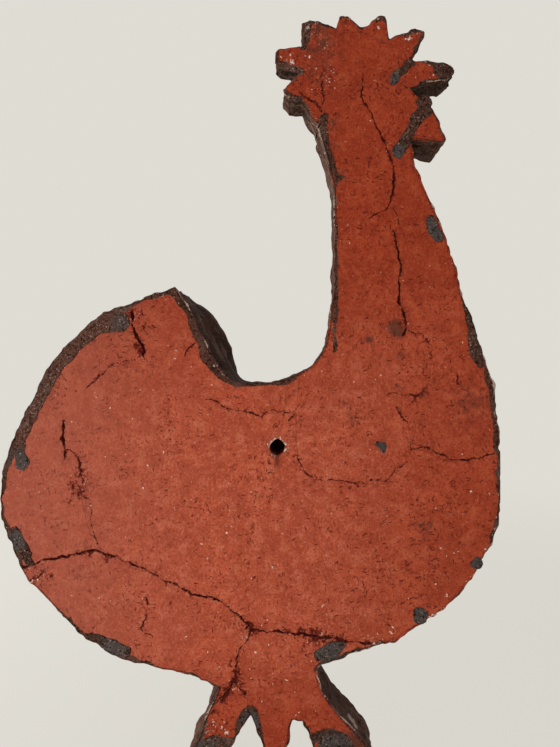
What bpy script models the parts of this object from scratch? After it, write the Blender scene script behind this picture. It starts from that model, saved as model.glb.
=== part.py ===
"""Rooster wall sculpture, hand-built from slabs and lumps of red grogged clay under a dark glaze.

The frame is in metres, with +Z up and +X towards the beak. The flat unglazed back lies in the plane y = 0,
the glazed display front faces +Y, and the origin is the mouth of the hanging hole in the back.
Outlines are written in millimetres as (x, z), seen from behind with the beak to the right.
"""

import math

import bmesh
import bpy
from mathutils import Vector

MM = 0.001

# Overall driving sizes, and the width and height that the places below are drawn at, in millimetres
OVERALL_WIDTH = 313.8 * MM
OVERALL_HEIGHT = 483.3 * MM
DRAWN_WIDTH = 313.8
DRAWN_HEIGHT = 483.3

# Driving sizes of the clay: the lumps round the head are thinner than the slabs and measured with their glaze
BODY_THICKNESS = 34.0 * MM
BEAK_THICKNESS = 23.0 * MM
COMB_POINT_4_THICKNESS = 20.5 * MM
COMB_POINT_3_THICKNESS = 22.0 * MM
COMB_POINT_2_THICKNESS = 21.0 * MM
COMB_POINT_1_THICKNESS = 24.0 * MM
UPPER_LOBE_THICKNESS = 17.0 * MM
LOWER_LOBE_THICKNESS = 27.0 * MM
SEAM_GAP = 0.3 * MM
TAIL_WALL_LEAN = math.radians(19.0)
HOLE_RADIUS = 4.7 * MM
HOLE_DEPTH = 29.0 * MM

# Driving sizes of the glaze
GLAZE_THICKNESS = 1.2 * MM
GLAZE_CLEARANCE = 0.3 * MM
FRONT_ROUNDING = 3.0 * MM
LUMP_ROUNDING = 2.5 * MM
RUN_THICKNESS = 0.8 * MM

# Driving sizes of the relief on the front
RELIEF_CLEARANCE = 0.3 * MM
RELIEF_ROUNDING = 1.8 * MM
WING_THICKNESS = 5.5 * MM
GROOVE_RADIUS = 1.1 * MM
PLUME_THICKNESS = 4.0 * MM
EYE_RADIUS = 7.0 * MM
EYE_HEIGHT = 4.2 * MM
PUPIL_RADIUS = 3.0 * MM
EYE_GROOVE = 0.9 * MM
EYE_PLACE = (64.0, 236.0)

# Fineness of the facets
OUTLINE_STEP = 4.5 * MM
LEAST_ROUNDED_FACET = 1.5 * MM
ROUNDING_STEPS = 2
CAP_STEPS = 6
TURN_STEPS = 32
WELD = 0.01 * MM

# How far a cutter reaches past the face that it opens
OVERRUN = 1.0 * MM

# The outline at the back, counterclockwise. Each run starts at a corner and is smooth inside. A third entry
# names the place where a joint between two slabs of clay comes out at the edge.
TAIL_RIM = (
    (-64.4, 100.0, "tail_tip"), (-73.8, 97.2), (-86.3, 92.7), (-95.0, 89.6, "tail_seam"),
    (-113.8, 81.0), (-137.5, 58.1), (-155.0, 28.1), (-168.1, -1.9), (-174.4, -31.9), (-170.0, -54.4),
    (-160.9, -72.5, "belly_seam"), (-153.0, -85.0), (-132.5, -106.9), (-101.3, -129.0), (-79.4, -137.0),
    (-50.6, -144.4),
)
LEFT_TOE = (
    (-36.3, -151.3), (-40.3, -160.5, "leg_seam"), (-44.4, -170.0), (-51.5, -185.0), (-58.5, -199.0),
    (-57.0, -209.0), (-48.0, -213.0), (-39.0, -207.5), (-32.5, -194.5), (-26.5, -182.5),
)
MIDDLE_TOE = ((-18.0, -168.0), (-10.0, -186.3), (-6.0, -199.0), (-1.5, -206.5), (3.0, -199.0), (6.0, -186.3))
TOE_WEB = ((9.5, -171.1),)
RIGHT_TOE = (
    (15.5, -172.9), (21.9, -187.5), (26.5, -199.0), (33.0, -208.5), (45.0, -212.5), (57.0, -208.5),
    (61.0, -197.5), (54.5, -184.2), (46.4, -176.1), (36.3, -165.0), (28.8, -154.0),
)
BREAST_AND_THROAT = (
    (24.4, -140.0), (31.3, -135.0), (46.3, -129.4), (71.5, -121.2, "breast_seam"), (93.8, -106.9),
    (111.9, -91.9), (124.4, -76.9), (132.5, -61.0), (138.4, -35.0), (139.4, -3.4, "throat_seam"),
    (137.5, 20.6), (135.0, 39.4), (120.0, 80.6), (106.9, 125.6), (95.0, 155.6), (85.2, 177.0),
)
WATTLE = (
    (83.8, 191.9, "wattle_low"), (92.5, 191.6), (101.0, 190.8), (105.0, 194.0), (102.8, 201.0),
    (99.4, 207.8), (91.5, 216.0),
)
BEAK = (
    (81.9, 225.6, "beak_low"), (89.4, 228.1), (97.0, 229.4), (105.0, 229.4), (109.6, 233.8), (107.3, 239.5),
    (100.0, 241.9), (92.0, 242.3),
)
COMB_4 = ((84.4, 242.5, "comb_low"), (88.4, 251.3), (90.6, 259.0), (85.5, 262.5), (79.0, 260.4))
COMB_3 = ((69.4, 255.6, "comb_34"), (68.4, 262.0), (67.0, 269.0), (63.4, 270.0), (58.4, 267.0))
COMB_2 = ((51.9, 262.5, "comb_23"), (49.0, 266.3), (44.6, 268.8), (40.3, 270.3), (37.9, 267.0))
COMB_1 = ((36.3, 261.9, "comb_12"), (28.8, 264.8), (20.6, 267.5), (15.6, 265.0), (14.8, 258.5))
UPPER_LOBE = ((15.8, 251.5, "comb_rear"), (5.0, 250.0), (-1.8, 247.4), (-2.2, 241.6), (4.5, 237.6))
LOWER_LOBE = ((14.4, 235.0, "lobes"), (7.5, 228.3), (3.8, 223.6), (7.5, 219.6))
NAPE_AND_SADDLE = (
    (15.0, 218.8), (20.3, 209.6), (25.0, 199.7, "nape_seam"), (31.6, 181.0), (34.4, 162.0), (35.4, 135.0),
    (35.6, 107.5), (33.6, 83.0), (29.4, 63.8), (23.5, 53.5), (12.5, 45.8, "saddle_seam"), (-4.0, 40.8),
    (-21.9, 40.0, "tail_wall_foot"), (-30.6, 44.2), (-37.5, 51.3), (-44.4, 62.5), (-55.0, 85.6),
)
OUTLINE = (
    TAIL_RIM, LEFT_TOE, MIDDLE_TOE, TOE_WEB, RIGHT_TOE, BREAST_AND_THROAT, WATTLE, BEAK, COMB_4, COMB_3,
    COMB_2, COMB_1, UPPER_LOBE, LOWER_LOBE, NAPE_AND_SADDLE,
)

# Where three slabs meet inside the outline
JUNCTIONS = {
    "tail_meet": (-114.4, -64.5),
    "leg_meet": (-17.5, -115.0),
    "breast_meet": (82.8, -1.9),
    "nape_meet": (28.1, 211.0),
    "crest_meet": (27.0, 246.0),
}

# The luted joints, each from one named place to another
SEAMS = {
    "tail": (
        "tail_seam", (-91.3, 78.0), (-86.9, 65.0), (-91.5, 54.4), (-107.5, 48.8), (-120.0, 36.9),
        (-132.0, 20.0), (-133.1, -1.9), (-125.0, -20.6), (-121.3, -40.0), "tail_meet",
    ),
    "rump": ("belly_seam", (-150.5, -71.5), (-136.6, -69.2), "tail_meet"),
    "belly": (
        "tail_meet", (-102.1, -69.4), (-92.5, -75.0), (-73.8, -81.9), (-51.9, -92.5), (-39.4, -96.9),
        (-26.9, -105.0), "leg_meet",
    ),
    "breast_foot": ("leg_meet", (4.4, -115.0), (20.0, -118.2), (38.8, -120.0), (56.0, -120.6), "breast_seam"),
    "leg": ("leg_meet", (-20.0, -123.8), (-24.4, -135.0), (-25.6, -147.5), (-32.5, -155.0), "leg_seam"),
    "breast": (
        "saddle_seam", (12.6, 29.4), (11.8, 10.6), (13.4, -5.0), (19.4, -15.0), (29.4, -21.9), (51.3, -22.5),
        (67.0, -23.1), (76.9, -21.3), (84.4, -11.3), "breast_meet",
    ),
    "throat_foot": ("breast_meet", (89.4, -0.6), (98.8, -5.6), (110.0, -8.8), (128.0, -5.4), "throat_seam"),
    "neck": (
        "comb_23", (54.4, 235.6), (53.1, 220.0), (58.8, 207.5), (68.8, 185.6), (71.9, 163.8), (71.3, 150.0),
        (75.0, 131.0), (77.0, 105.0), (78.1, 85.0), (81.5, 74.0), (88.0, 73.0), (94.4, 64.4), (96.3, 51.3),
        (94.4, 38.8), (86.9, 31.9), (80.5, 23.1), (83.1, 8.0), "breast_meet",
    ),
    "wattle": ("wattle_low", (81.3, 209.4), "beak_low"),
    "beak": ("beak_low", (81.0, 234.4), "comb_low"),
    "comb_4": ("comb_low", (76.5, 249.5), "comb_34"),
    "comb_3": ("comb_34", (60.8, 257.5), "comb_23"),
    "comb_2": ("comb_23", (44.4, 259.8), "comb_12"),
    "comb_1": ("comb_12", (34.5, 251.5), "crest_meet"),
    "crest": ("comb_rear", "crest_meet"),
    "upper_lobe": ("crest_meet", (28.8, 235.6), (27.5, 223.1), "nape_meet"),
    "lobes": ("lobes", (16.3, 223.8), (22.4, 216.0), "nape_meet"),
    "lower_lobe": ("nape_meet", (30.0, 205.5), "nape_seam"),
}

# The border of each slab, counterclockwise, with how thick it is: a pair is a stretch of the outline, and a
# word is a seam, walked from its far end where it starts with a minus sign.
SLABS = {
    "body_slab": (
        BODY_THICKNESS, ("breast_seam", "throat_seam"), "-throat_foot", "-breast",
        ("saddle_seam", "tail_seam"), "tail", "belly", "breast_foot",
    ),
    "tail_slab": (BODY_THICKNESS, ("tail_seam", "belly_seam"), "rump", "-tail"),
    "belly_slab": (BODY_THICKNESS, ("belly_seam", "leg_seam"), "-leg", "-belly", "-rump"),
    "leg_slab": (BODY_THICKNESS, ("leg_seam", "breast_seam"), "-breast_foot", "leg"),
    "neck_slab": (
        BODY_THICKNESS, ("nape_seam", "saddle_seam"), "breast", "-neck", "comb_2", "comb_1", "upper_lobe",
        "lower_lobe",
    ),
    "throat_slab": (
        BODY_THICKNESS, ("throat_seam", "wattle_low"), "wattle", "beak", "comb_4", "comb_3", "neck",
        "throat_foot",
    ),
    "wattle_lump": (BODY_THICKNESS, ("wattle_low", "beak_low"), "-wattle"),
}
LUMPS = {
    "beak_lump": (BEAK_THICKNESS, ("beak_low", "comb_low"), "-beak"),
    "comb_point_4": (COMB_POINT_4_THICKNESS, ("comb_low", "comb_34"), "-comb_4"),
    "comb_point_3": (COMB_POINT_3_THICKNESS, ("comb_34", "comb_23"), "-comb_3"),
    "comb_point_2": (COMB_POINT_2_THICKNESS, ("comb_23", "comb_12"), "-comb_2"),
    "comb_point_1": (COMB_POINT_1_THICKNESS, ("comb_12", "comb_rear"), "crest", "-comb_1"),
    "rear_lobe_upper": (UPPER_LOBE_THICKNESS, ("comb_rear", "lobes"), "lobes", "-upper_lobe", "-crest"),
    "rear_lobe_lower": (LOWER_LOBE_THICKNESS, ("lobes", "nape_seam"), "-lower_lobe", "-lobes"),
}

# The border round all the slabs, without the thinner lumps, that the glaze coat follows
ALL_SLABS = (
    ("nape_seam", "beak_low"), "beak", "comb_4", "comb_3", "comb_2", "comb_1", "upper_lobe", "lower_lobe",
)

# Glaze that ran over the edge onto the back, as strokes of (x, z, half width)
GLAZE_RUNS = {
    "glaze_run_tail": (
        (-160.4, -9.6, 4.8), (-162.3, -1.5, 3.3), (-157.2, 13.5, 3.9), (-150.9, 26.3, 3.3),
        (-143.0, 41.5, 3.6), (-133.6, 55.4, 4.2), (-122.8, 67.5, 4.4), (-111.3, 75.6, 5.2),
        (-99.8, 78.4, 6.8),
    ),
    "glaze_run_beak": ((81.8, 240.2, 3.3), (76.5, 234.8, 3.0), (72.4, 230.0, 3.1)),
    "glaze_beak_tip": ((101.6, 235.9, 5.0), (104.2, 234.9, 4.7)),
    "glaze_run_wattle": (
        (93.6, 210.2, 3.0), (89.6, 209.8, 4.4), (85.4, 202.6, 4.0), (80.8, 192.6, 3.5), (75.2, 184.6, 3.9),
    ),
    "glaze_run_throat": ((95.6, 142.4, 3.4), (97.2, 137.0, 3.9), (100.2, 131.8, 3.4)),
    "glaze_run_breast": (
        (116.6, 86.0, 1.4), (119.2, 75.5, 2.3), (121.6, 65.5, 3.6), (124.0, 57.0, 3.7), (127.0, 51.0, 2.2),
    ),
    "glaze_run_leg": ((25.6, -130.4, 4.0), (30.4, -129.0, 4.9), (35.8, -126.8, 5.1), (41.4, -123.4, 2.2)),
    "glaze_run_belly": (
        (-117.0, -115.0, 1.6), (-110.6, -118.2, 3.0), (-102.5, -123.0, 3.8), (-95.0, -127.0, 3.5),
    ),
    "glaze_run_rump": (
        (-165.0, -51.8, 2.6), (-161.8, -60.0, 4.0), (-157.2, -67.4, 3.6), (-153.8, -72.2, 2.2),
    ),
    "glaze_left_toe": ((-40.8, -189.6, 8.8), (-46.0, -199.4, 9.4)),
    "glaze_right_toe": ((33.4, -186.4, 8.4), (40.6, -199.4, 11.0)),
}

# Relief of the glazed front: the wing's outline and feather grooves, and the tail plumes as strokes
WING_OUTLINE = (
    ((74.0, -24.0), (62.0, -4.0), (36.0, 8.0), (0.0, 12.0), (-44.0, 6.0), (-78.0, -6.0), (-96.0, -20.0)),
    ((-74.0, -23.0), (-84.0, -34.0), (-92.0, -46.0)),
    ((-64.0, -43.0), (-70.0, -55.0), (-74.0, -68.0)),
    ((-44.0, -58.0), (-44.0, -70.0), (-44.0, -82.0), (-8.0, -80.0), (34.0, -68.0), (62.0, -50.0)),
)
FEATHER_GROOVES = {
    "upper_feather": ((-78.0, -24.0), (-44.0, -16.0), (-8.0, -12.0), (22.0, -14.0)),
    "middle_feather": ((-68.0, -45.0), (-38.0, -36.0), (-8.0, -31.0), (20.0, -30.0)),
    "lower_feather": ((-44.0, -62.0), (-20.0, -55.0), (4.0, -50.0), (24.0, -47.0)),
    "coverts": ((32.0, 12.0), (26.0, -8.0), (26.0, -36.0), (36.0, -60.0), (44.0, -68.0)),
}
TAIL_PLUMES = {
    "tail_plume_1": ((-72.0, 86.0, 2.0), (-104.0, 68.0, 4.6), (-130.0, 34.0, 5.8), (-144.0, -6.0, 5.2),
                     (-147.0, -38.0, 2.0)),
    "tail_plume_2": ((-68.0, 66.0, 2.0), (-94.0, 50.0, 4.6), (-114.0, 22.0, 5.6), (-124.0, -12.0, 4.8),
                     (-126.0, -40.0, 2.0)),
    "tail_plume_3": ((-62.0, 44.0, 2.0), (-80.0, 34.0, 4.2), (-96.0, 16.0, 4.8), (-106.0, -2.0, 2.0)),
}

# Places that follow from the sizes above
CLAY_SETBACK = GLAZE_THICKNESS + GLAZE_CLEARANCE - SEAM_GAP / 2.0
CAVITY_MARGIN = GLAZE_CLEARANCE - SEAM_GAP / 2.0
RELIEF_SEAT = BODY_THICKNESS + GLAZE_CLEARANCE + GLAZE_THICKNESS + RELIEF_CLEARANCE


def material(name, colour, roughness):
    """A Principled material; the colour is linear RGB."""
    made = bpy.data.materials.new(name)
    made.use_nodes = True
    shader = made.node_tree.nodes["Principled BSDF"]
    shader.inputs["Base Color"].default_value = (*colour, 1.0)
    shader.inputs["Roughness"].default_value = roughness
    shader.inputs["Metallic"].default_value = 0.0
    return made


def placed(drawn):
    """The place of a point drawn in millimetres, spread to the overall width and height."""
    return Vector((drawn[0] * OVERALL_WIDTH / DRAWN_WIDTH, drawn[1] * OVERALL_HEIGHT / DRAWN_HEIGHT))


def smooth_stretch(before, start, end, after):
    """Points of a Catmull-Rom curve from start up to but not including end."""
    count = max(1, round((end - start).length / OUTLINE_STEP))
    points = []
    for i in range(count):
        t = i / count
        points.append(
            0.5 * (
                2.0 * start
                + (end - before) * t
                + (2.0 * before - 5.0 * start + 4.0 * end - after) * t * t
                + (3.0 * start - before - 3.0 * end + after) * t * t * t
            )
        )
    return points


def smooth_line(controls):
    """A smooth open curve through the controls, without its end, and each control's place on it."""
    ends = [2.0 * controls[0] - controls[1], *controls, 2.0 * controls[-1] - controls[-2]]
    points, places = [], []
    for i in range(1, len(ends) - 2):
        places.append(len(points))
        points += smooth_stretch(ends[i - 1], ends[i], ends[i + 1], ends[i + 2])
    return points, places


def closed_outline(runs):
    """The closed outline through the runs, and the index of each named place on it."""
    points, marks = [], {}
    for run, following in zip(runs, runs[1:] + runs[:1]):
        controls = [placed(c) for c in (*run, following[0])]
        stretch, places = smooth_line(controls)
        for control, place in zip(run, places):
            if len(control) == 3:
                marks[control[2]] = len(points) + place
        points += stretch
    return points, marks


def outward_normals(points):
    """The unit mean of the two edge normals at each point of a counterclockwise outline, and its mitre."""
    found = []
    for before, here, after in zip(points[-1:] + points[:-1], points, points[1:] + points[:1]):
        first, second = (here - before).normalized(), (after - here).normalized()
        mean = Vector((first.y + second.y, -first.x - second.x)).normalized()
        mitre = 1.0 / max(0.5, mean.dot(Vector((first.y, -first.x))))
        found.append((mean, mitre))
    return found


def grown(points, distance):
    """The outline moved outwards by distance, or inwards where it is negative."""
    return [p + n * mitre * distance for p, (n, mitre) in zip(points, outward_normals(points))]


def stretch_of(items, start, end):
    """The items of a closed list from start up to but not including end."""
    if end > start:
        return items[start:end]
    return items[start:] + items[:end]


def tail_lean(points, marks):
    """How far each outline point leans outwards for each metre of thickness: only the tail's inner wall."""
    leans = [Vector((0.0, 0.0)) for _ in points]
    foot, tip = marks["tail_wall_foot"], marks["tail_tip"]
    count = (tip - foot) % len(points)
    normals = outward_normals(points)
    for i in range(count):
        index = (foot + i) % len(points)
        share = math.sin(math.pi * i / count)
        leans[index] = normals[index][0] * share * math.tan(TAIL_WALL_LEAN)
    return leans


class Plan:
    """The outline of the whole piece, and the seams, that end where the clay lies under the glaze."""

    def __init__(self):
        self.edge, self.marks = closed_outline(OUTLINE)
        self.leans = tail_lean(self.edge, self.marks)
        clay_edge = grown(self.edge, -CLAY_SETBACK)
        self.places = {name: clay_edge[index] for name, index in self.marks.items()}
        self.places.update({name: placed(place) for name, place in JUNCTIONS.items()})

    def seam(self, name):
        """The points of a seam, walked from its far end where the name starts with a minus sign."""
        controls = [self.places[c] if isinstance(c, str) else placed(c) for c in SEAMS[name.lstrip("-")]]
        points = smooth_line(controls)[0] + [controls[-1]]
        if name.startswith("-"):
            points.reverse()
        return points

    def border(self, steps, setback):
        """The closed border made of stretches of the outline and seams, and how each of its points leans."""
        edge = grown(self.edge, -setback)
        outline, leans = [], []
        for step in steps:
            if isinstance(step, str):
                points = self.seam(step)
                slopes = [Vector((0.0, 0.0))] * len(points)
            else:
                start, end = self.marks[step[0]], self.marks[step[1]]
                points = stretch_of(edge, start, end) + [edge[end]]
                slopes = stretch_of(self.leans, start, end) + [self.leans[end]]
            if outline and (points[0] - outline[-1]).length < WELD:
                points, slopes = points[1:], slopes[1:]
            outline += points
            leans += slopes
        if (outline[0] - outline[-1]).length < WELD:
            outline.pop()
            leans.pop()
        return outline, leans


def without_short_facets(outline):
    """The outline without the points that lie too close to the one before for the front's rounding."""
    kept = []
    for point in outline:
        if not kept or (point - kept[-1]).length >= LEAST_ROUNDED_FACET:
            kept.append(point)
    if (kept[0] - kept[-1]).length < LEAST_ROUNDED_FACET:
        kept.pop()
    return kept


def slab(name, outline, back, front, leans=None, rounding=None):
    """A flat slab as a closed mesh object: its outline in the XZ plane, from y = back to y = front."""
    drawn_outline = without_short_facets(outline) if rounding else outline
    curve = bpy.data.curves.new(name + "_outline", "CURVE")
    curve.dimensions = "2D"
    curve.fill_mode = "BOTH"
    curve.extrude = (front - back) / 2.0
    spline = curve.splines.new("POLY")
    spline.points.add(len(drawn_outline) - 1)
    for point, place in zip(spline.points, drawn_outline):
        point.co = (place.x, place.y, 0.0, 1.0)
    spline.use_cyclic_u = True
    mesh = mesh_of(name, curve)
    middle = (back + front) / 2.0
    shape = bmesh.new()
    shape.from_mesh(mesh)
    for side in (-1.0, 1.0):
        cap = [f for f in shape.faces if f.normal.z * side > 0.5]
        bmesh.ops.dissolve_faces(shape, faces=cap, use_verts=False)
    if leans:
        lean_walls(shape, outline, leans, middle)
    if rounding:
        round_front(shape, rounding)
    shape.to_mesh(mesh)
    shape.free()
    made = bpy.data.objects.new(name, mesh)
    made.location = (0.0, middle, 0.0)
    made.rotation_euler = (math.pi / 2.0, 0.0, 0.0)
    parts.objects.link(made)
    return made


def mesh_of(name, curve):
    """The curve as a closed mesh, with the caps welded to the walls."""
    drawn = bpy.data.objects.new(name + "_drawn", curve)
    parts.objects.link(drawn)
    graph = bpy.context.evaluated_depsgraph_get()
    mesh = bpy.data.meshes.new_from_object(drawn.evaluated_get(graph))
    bpy.data.objects.remove(drawn)
    mesh.name = name
    shape = bmesh.new()
    shape.from_mesh(mesh)
    bmesh.ops.remove_doubles(shape, verts=shape.verts, dist=WELD)
    bmesh.ops.recalc_face_normals(shape, faces=shape.faces)
    shape.to_mesh(mesh)
    shape.free()
    return mesh


def lean_walls(shape, outline, leans, middle):
    """Leans the walls of a slab outwards by their distance from the back."""
    for vertex in shape.verts:
        flat = Vector(vertex.co[:2])
        nearest = min(range(len(outline)), key=lambda i: (outline[i] - flat).length_squared)
        vertex.co.xy = flat + leans[nearest] * (middle - vertex.co.z)
    walls = [f for f in shape.faces if len(f.verts) == 4]
    bmesh.ops.triangulate(shape, faces=walls, quad_method="SHORT_EDGE")


def round_front(shape, width):
    """Rounds the edge all round a slab's front face, which is its lowest face in its own frame."""
    front = min(shape.faces, key=lambda f: f.calc_center_median().z)
    bmesh.ops.bevel(
        shape, geom=list(front.edges), offset=width, offset_type="OFFSET", segments=ROUNDING_STEPS,
        profile=0.5, affect="EDGES", material=-1, clamp_overlap=True,
    )


def combine(made, operation, helpers):
    """Adds each helper to a piece, or takes it out, and keeps the helpers out of the parts."""
    for helper in helpers:
        parts.objects.unlink(helper)
        cutters.objects.link(helper)
        helper.hide_render = True
        helper.display_type = "WIRE"
        modifier = made.modifiers.new(helper.name, "BOOLEAN")
        modifier.operation = operation
        modifier.solver = "EXACT"
        modifier.object = helper


def finish(made, finish_material):
    """Gives a piece its material and smooth shading with sharp corners."""
    made.data.materials.clear()
    made.data.materials.append(finish_material)
    made.data.shade_smooth()
    made.data.set_sharp_from_angle(angle=math.radians(35.0))


def clay_slabs(plan, clay):
    """The slabs of clay under the glaze, luted edge to edge along the seams."""
    made = {}
    for name, (thickness, *steps) in SLABS.items():
        outline, leans = plan.border(steps, CLAY_SETBACK)
        made[name] = slab(name, grown(outline, -SEAM_GAP / 2.0), 0.0, thickness, leans)
        finish(made[name], clay)
    return made


def glazed_lumps(plan, glaze):
    """The comb points, the beak and the rear lobes, each a lump luted on and glazed by itself."""
    for name, (thickness, *steps) in LUMPS.items():
        outline = plan.border(steps, -SEAM_GAP / 2.0)[0]
        made = slab(name, grown(outline, -SEAM_GAP / 2.0), 0.0, thickness, rounding=LUMP_ROUNDING)
        finish(made, glaze)


def hanging_hole(body):
    """The blind hole in the back that a nail or hook goes into."""
    bpy.ops.mesh.primitive_cylinder_add(
        vertices=TURN_STEPS, radius=HOLE_RADIUS, depth=HOLE_DEPTH + OVERRUN,
        location=(0.0, (HOLE_DEPTH - OVERRUN) / 2.0, 0.0), rotation=(math.pi / 2.0, 0.0, 0.0),
    )
    drill = bpy.context.active_object
    drill.name = "hole_cutter"
    for holder in list(drill.users_collection):
        holder.objects.unlink(drill)
    parts.objects.link(drill)
    combine(body, "DIFFERENCE", [drill])


def glaze_coat(plan, glaze):
    """The glaze on the slabs as a shell, open at the back and where the lumps are luted on."""
    outline, leans = plan.border(ALL_SLABS, CLAY_SETBACK)
    inner_front = BODY_THICKNESS + GLAZE_CLEARANCE
    outer, inner = grown(outline, CLAY_SETBACK), grown(outline, CAVITY_MARGIN)
    coat = slab("glaze_coat", outer, 0.0, inner_front + GLAZE_THICKNESS, leans, FRONT_ROUNDING)
    openings = [slab("clay_inside", inner, -OVERRUN, inner_front, leans)]
    for name, (thickness, *steps) in LUMPS.items():
        outline = grown(plan.border(steps, -SEAM_GAP / 2.0)[0], CAVITY_MARGIN)
        openings.append(slab(name + "_window", outline, -OVERRUN, thickness + GLAZE_CLEARANCE))
    combine(coat, "DIFFERENCE", openings)
    finish(coat, glaze)


def cap_round(place, along):
    """The half circle that closes a stroke, from the right of its direction to the left."""
    centre, radius = Vector(place[:2]), place.z
    left = Vector((-along.y, along.x))
    points = []
    for i in range(1, CAP_STEPS):
        angle = math.pi * (i / CAP_STEPS - 0.5)
        points.append(centre + (along * math.cos(angle) + left * math.sin(angle)) * radius)
    return points


def stroke_outline(stroke):
    """The closed outline of a stroke of changing width with round ends."""
    spine = [Vector((*placed(s), s[2] * MM)) for s in stroke]
    line = smooth_line(spine)[0] + [spine[-1]]
    directions = []
    for before, after in zip(line[:1] + line[:-1], line[1:] + line[-1:]):
        directions.append((after - before).xy.normalized())
    sides = [Vector((d.y, -d.x)) * place.z for d, place in zip(directions, line)]
    right = [place.xy + side for place, side in zip(line, sides)]
    left = [place.xy - side for place, side in zip(line, sides)]
    return right + cap_round(line[-1], directions[-1]) + left[::-1] + cap_round(line[0], -directions[0])


def glaze_runs(glaze):
    """The runs and drops of glaze that set on the back."""
    for name, stroke in GLAZE_RUNS.items():
        seat = -GLAZE_CLEARANCE
        finish(slab(name, stroke_outline(stroke), seat - RUN_THICKNESS, seat), glaze)


def groove_cutter(name, path):
    """A round bar along a smooth path on the wing's front face."""
    controls = [placed(p) for p in path]
    line = smooth_line(controls)[0] + [controls[-1]]
    curve = bpy.data.curves.new(name, "CURVE")
    curve.dimensions = "3D"
    curve.bevel_depth = GROOVE_RADIUS
    curve.bevel_resolution = 1
    curve.use_fill_caps = True
    spline = curve.splines.new("POLY")
    spline.points.add(len(line) - 1)
    for point, place in zip(spline.points, line):
        point.co = (place.x, RELIEF_SEAT + WING_THICKNESS, place.y, 1.0)
    mesh = mesh_of(name, curve)
    made = bpy.data.objects.new(name + "_cutter", mesh)
    parts.objects.link(made)
    return made


def wing(glaze):
    """The wing, a slab luted on the front, its feather tips towards the tail and grooves between them."""
    outline = closed_outline(WING_OUTLINE)[0]
    front = RELIEF_SEAT + WING_THICKNESS
    made = slab("wing_relief", outline, RELIEF_SEAT, front, rounding=RELIEF_ROUNDING)
    grooves = [groove_cutter(name, path) for name, path in FEATHER_GROOVES.items()]
    combine(made, "DIFFERENCE", grooves)
    finish(made, glaze)


def tail_plumes(glaze):
    """The sickle feathers, long tapered strips laid on the front of the tail."""
    for name, stroke in TAIL_PLUMES.items():
        front = RELIEF_SEAT + PLUME_THICKNESS
        finish(slab(name, stroke_outline(stroke), RELIEF_SEAT, front, rounding=RELIEF_ROUNDING), glaze)


def eye(glaze):
    """The eye, a pellet with a ring pressed round its pupil, on the front of the head."""
    groove_middle = PUPIL_RADIUS + EYE_GROOVE
    groove_end = groove_middle + EYE_GROOVE
    profile = (
        (0.0, EYE_HEIGHT), (PUPIL_RADIUS, EYE_HEIGHT - EYE_GROOVE / 2.0),
        (groove_middle, EYE_HEIGHT - 2.0 * EYE_GROOVE), (groove_end, EYE_HEIGHT - EYE_GROOVE),
        (EYE_RADIUS, EYE_HEIGHT / 3.0), (EYE_RADIUS, 0.0), (0.0, 0.0),
    )
    mesh = bpy.data.meshes.new("eye_relief")
    edges = [(i, i + 1) for i in range(len(profile) - 1)]
    mesh.from_pydata([(r, 0.0, h) for r, h in profile], edges, [])
    made = bpy.data.objects.new("eye_relief", mesh)
    turning = made.modifiers.new("turned", "SCREW")
    turning.steps = turning.render_steps = TURN_STEPS
    turning.use_merge_vertices = True
    turning.merge_threshold = WELD
    x, z = placed(EYE_PLACE)
    made.location = (x, RELIEF_SEAT, z)
    made.rotation_euler = (-math.pi / 2.0, 0.0, 0.0)
    parts.objects.link(made)
    mesh.materials.append(glaze)


for old in list(bpy.data.objects):
    bpy.data.objects.remove(old)
parts = bpy.data.collections.new("rooster_wall_sculpture")
cutters = bpy.data.collections.new("cutters")
bpy.context.scene.collection.children.link(parts)
bpy.context.scene.collection.children.link(cutters)

red_clay = material("red_clay", (0.402, 0.082, 0.036), 0.85)
dark_glaze = material("dark_glaze", (0.045, 0.024, 0.017), 0.35)

rooster_plan = Plan()
slabs = clay_slabs(rooster_plan, red_clay)
hanging_hole(slabs["body_slab"])
glazed_lumps(rooster_plan, dark_glaze)
glaze_coat(rooster_plan, dark_glaze)
glaze_runs(dark_glaze)
wing(dark_glaze)
tail_plumes(dark_glaze)
eye(dark_glaze)
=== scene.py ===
"""Looks of a hand-built earthenware rooster for a wall, seen from its unglazed back.

Every piece stands where its CAD node is. Places on the rooster are in millimetres as (x, z), seen from
behind with the beak to the right, and the origin is the mouth of the hanging hole.
"""

import math
from functools import partial

import bmesh
import bpy
import numpy as np
from bpy.props import FloatProperty, FloatVectorProperty, PointerProperty
from bpy.types import Operator, Panel, PropertyGroup
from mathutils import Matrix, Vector
from mathutils.bvhtree import BVHTree


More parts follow.
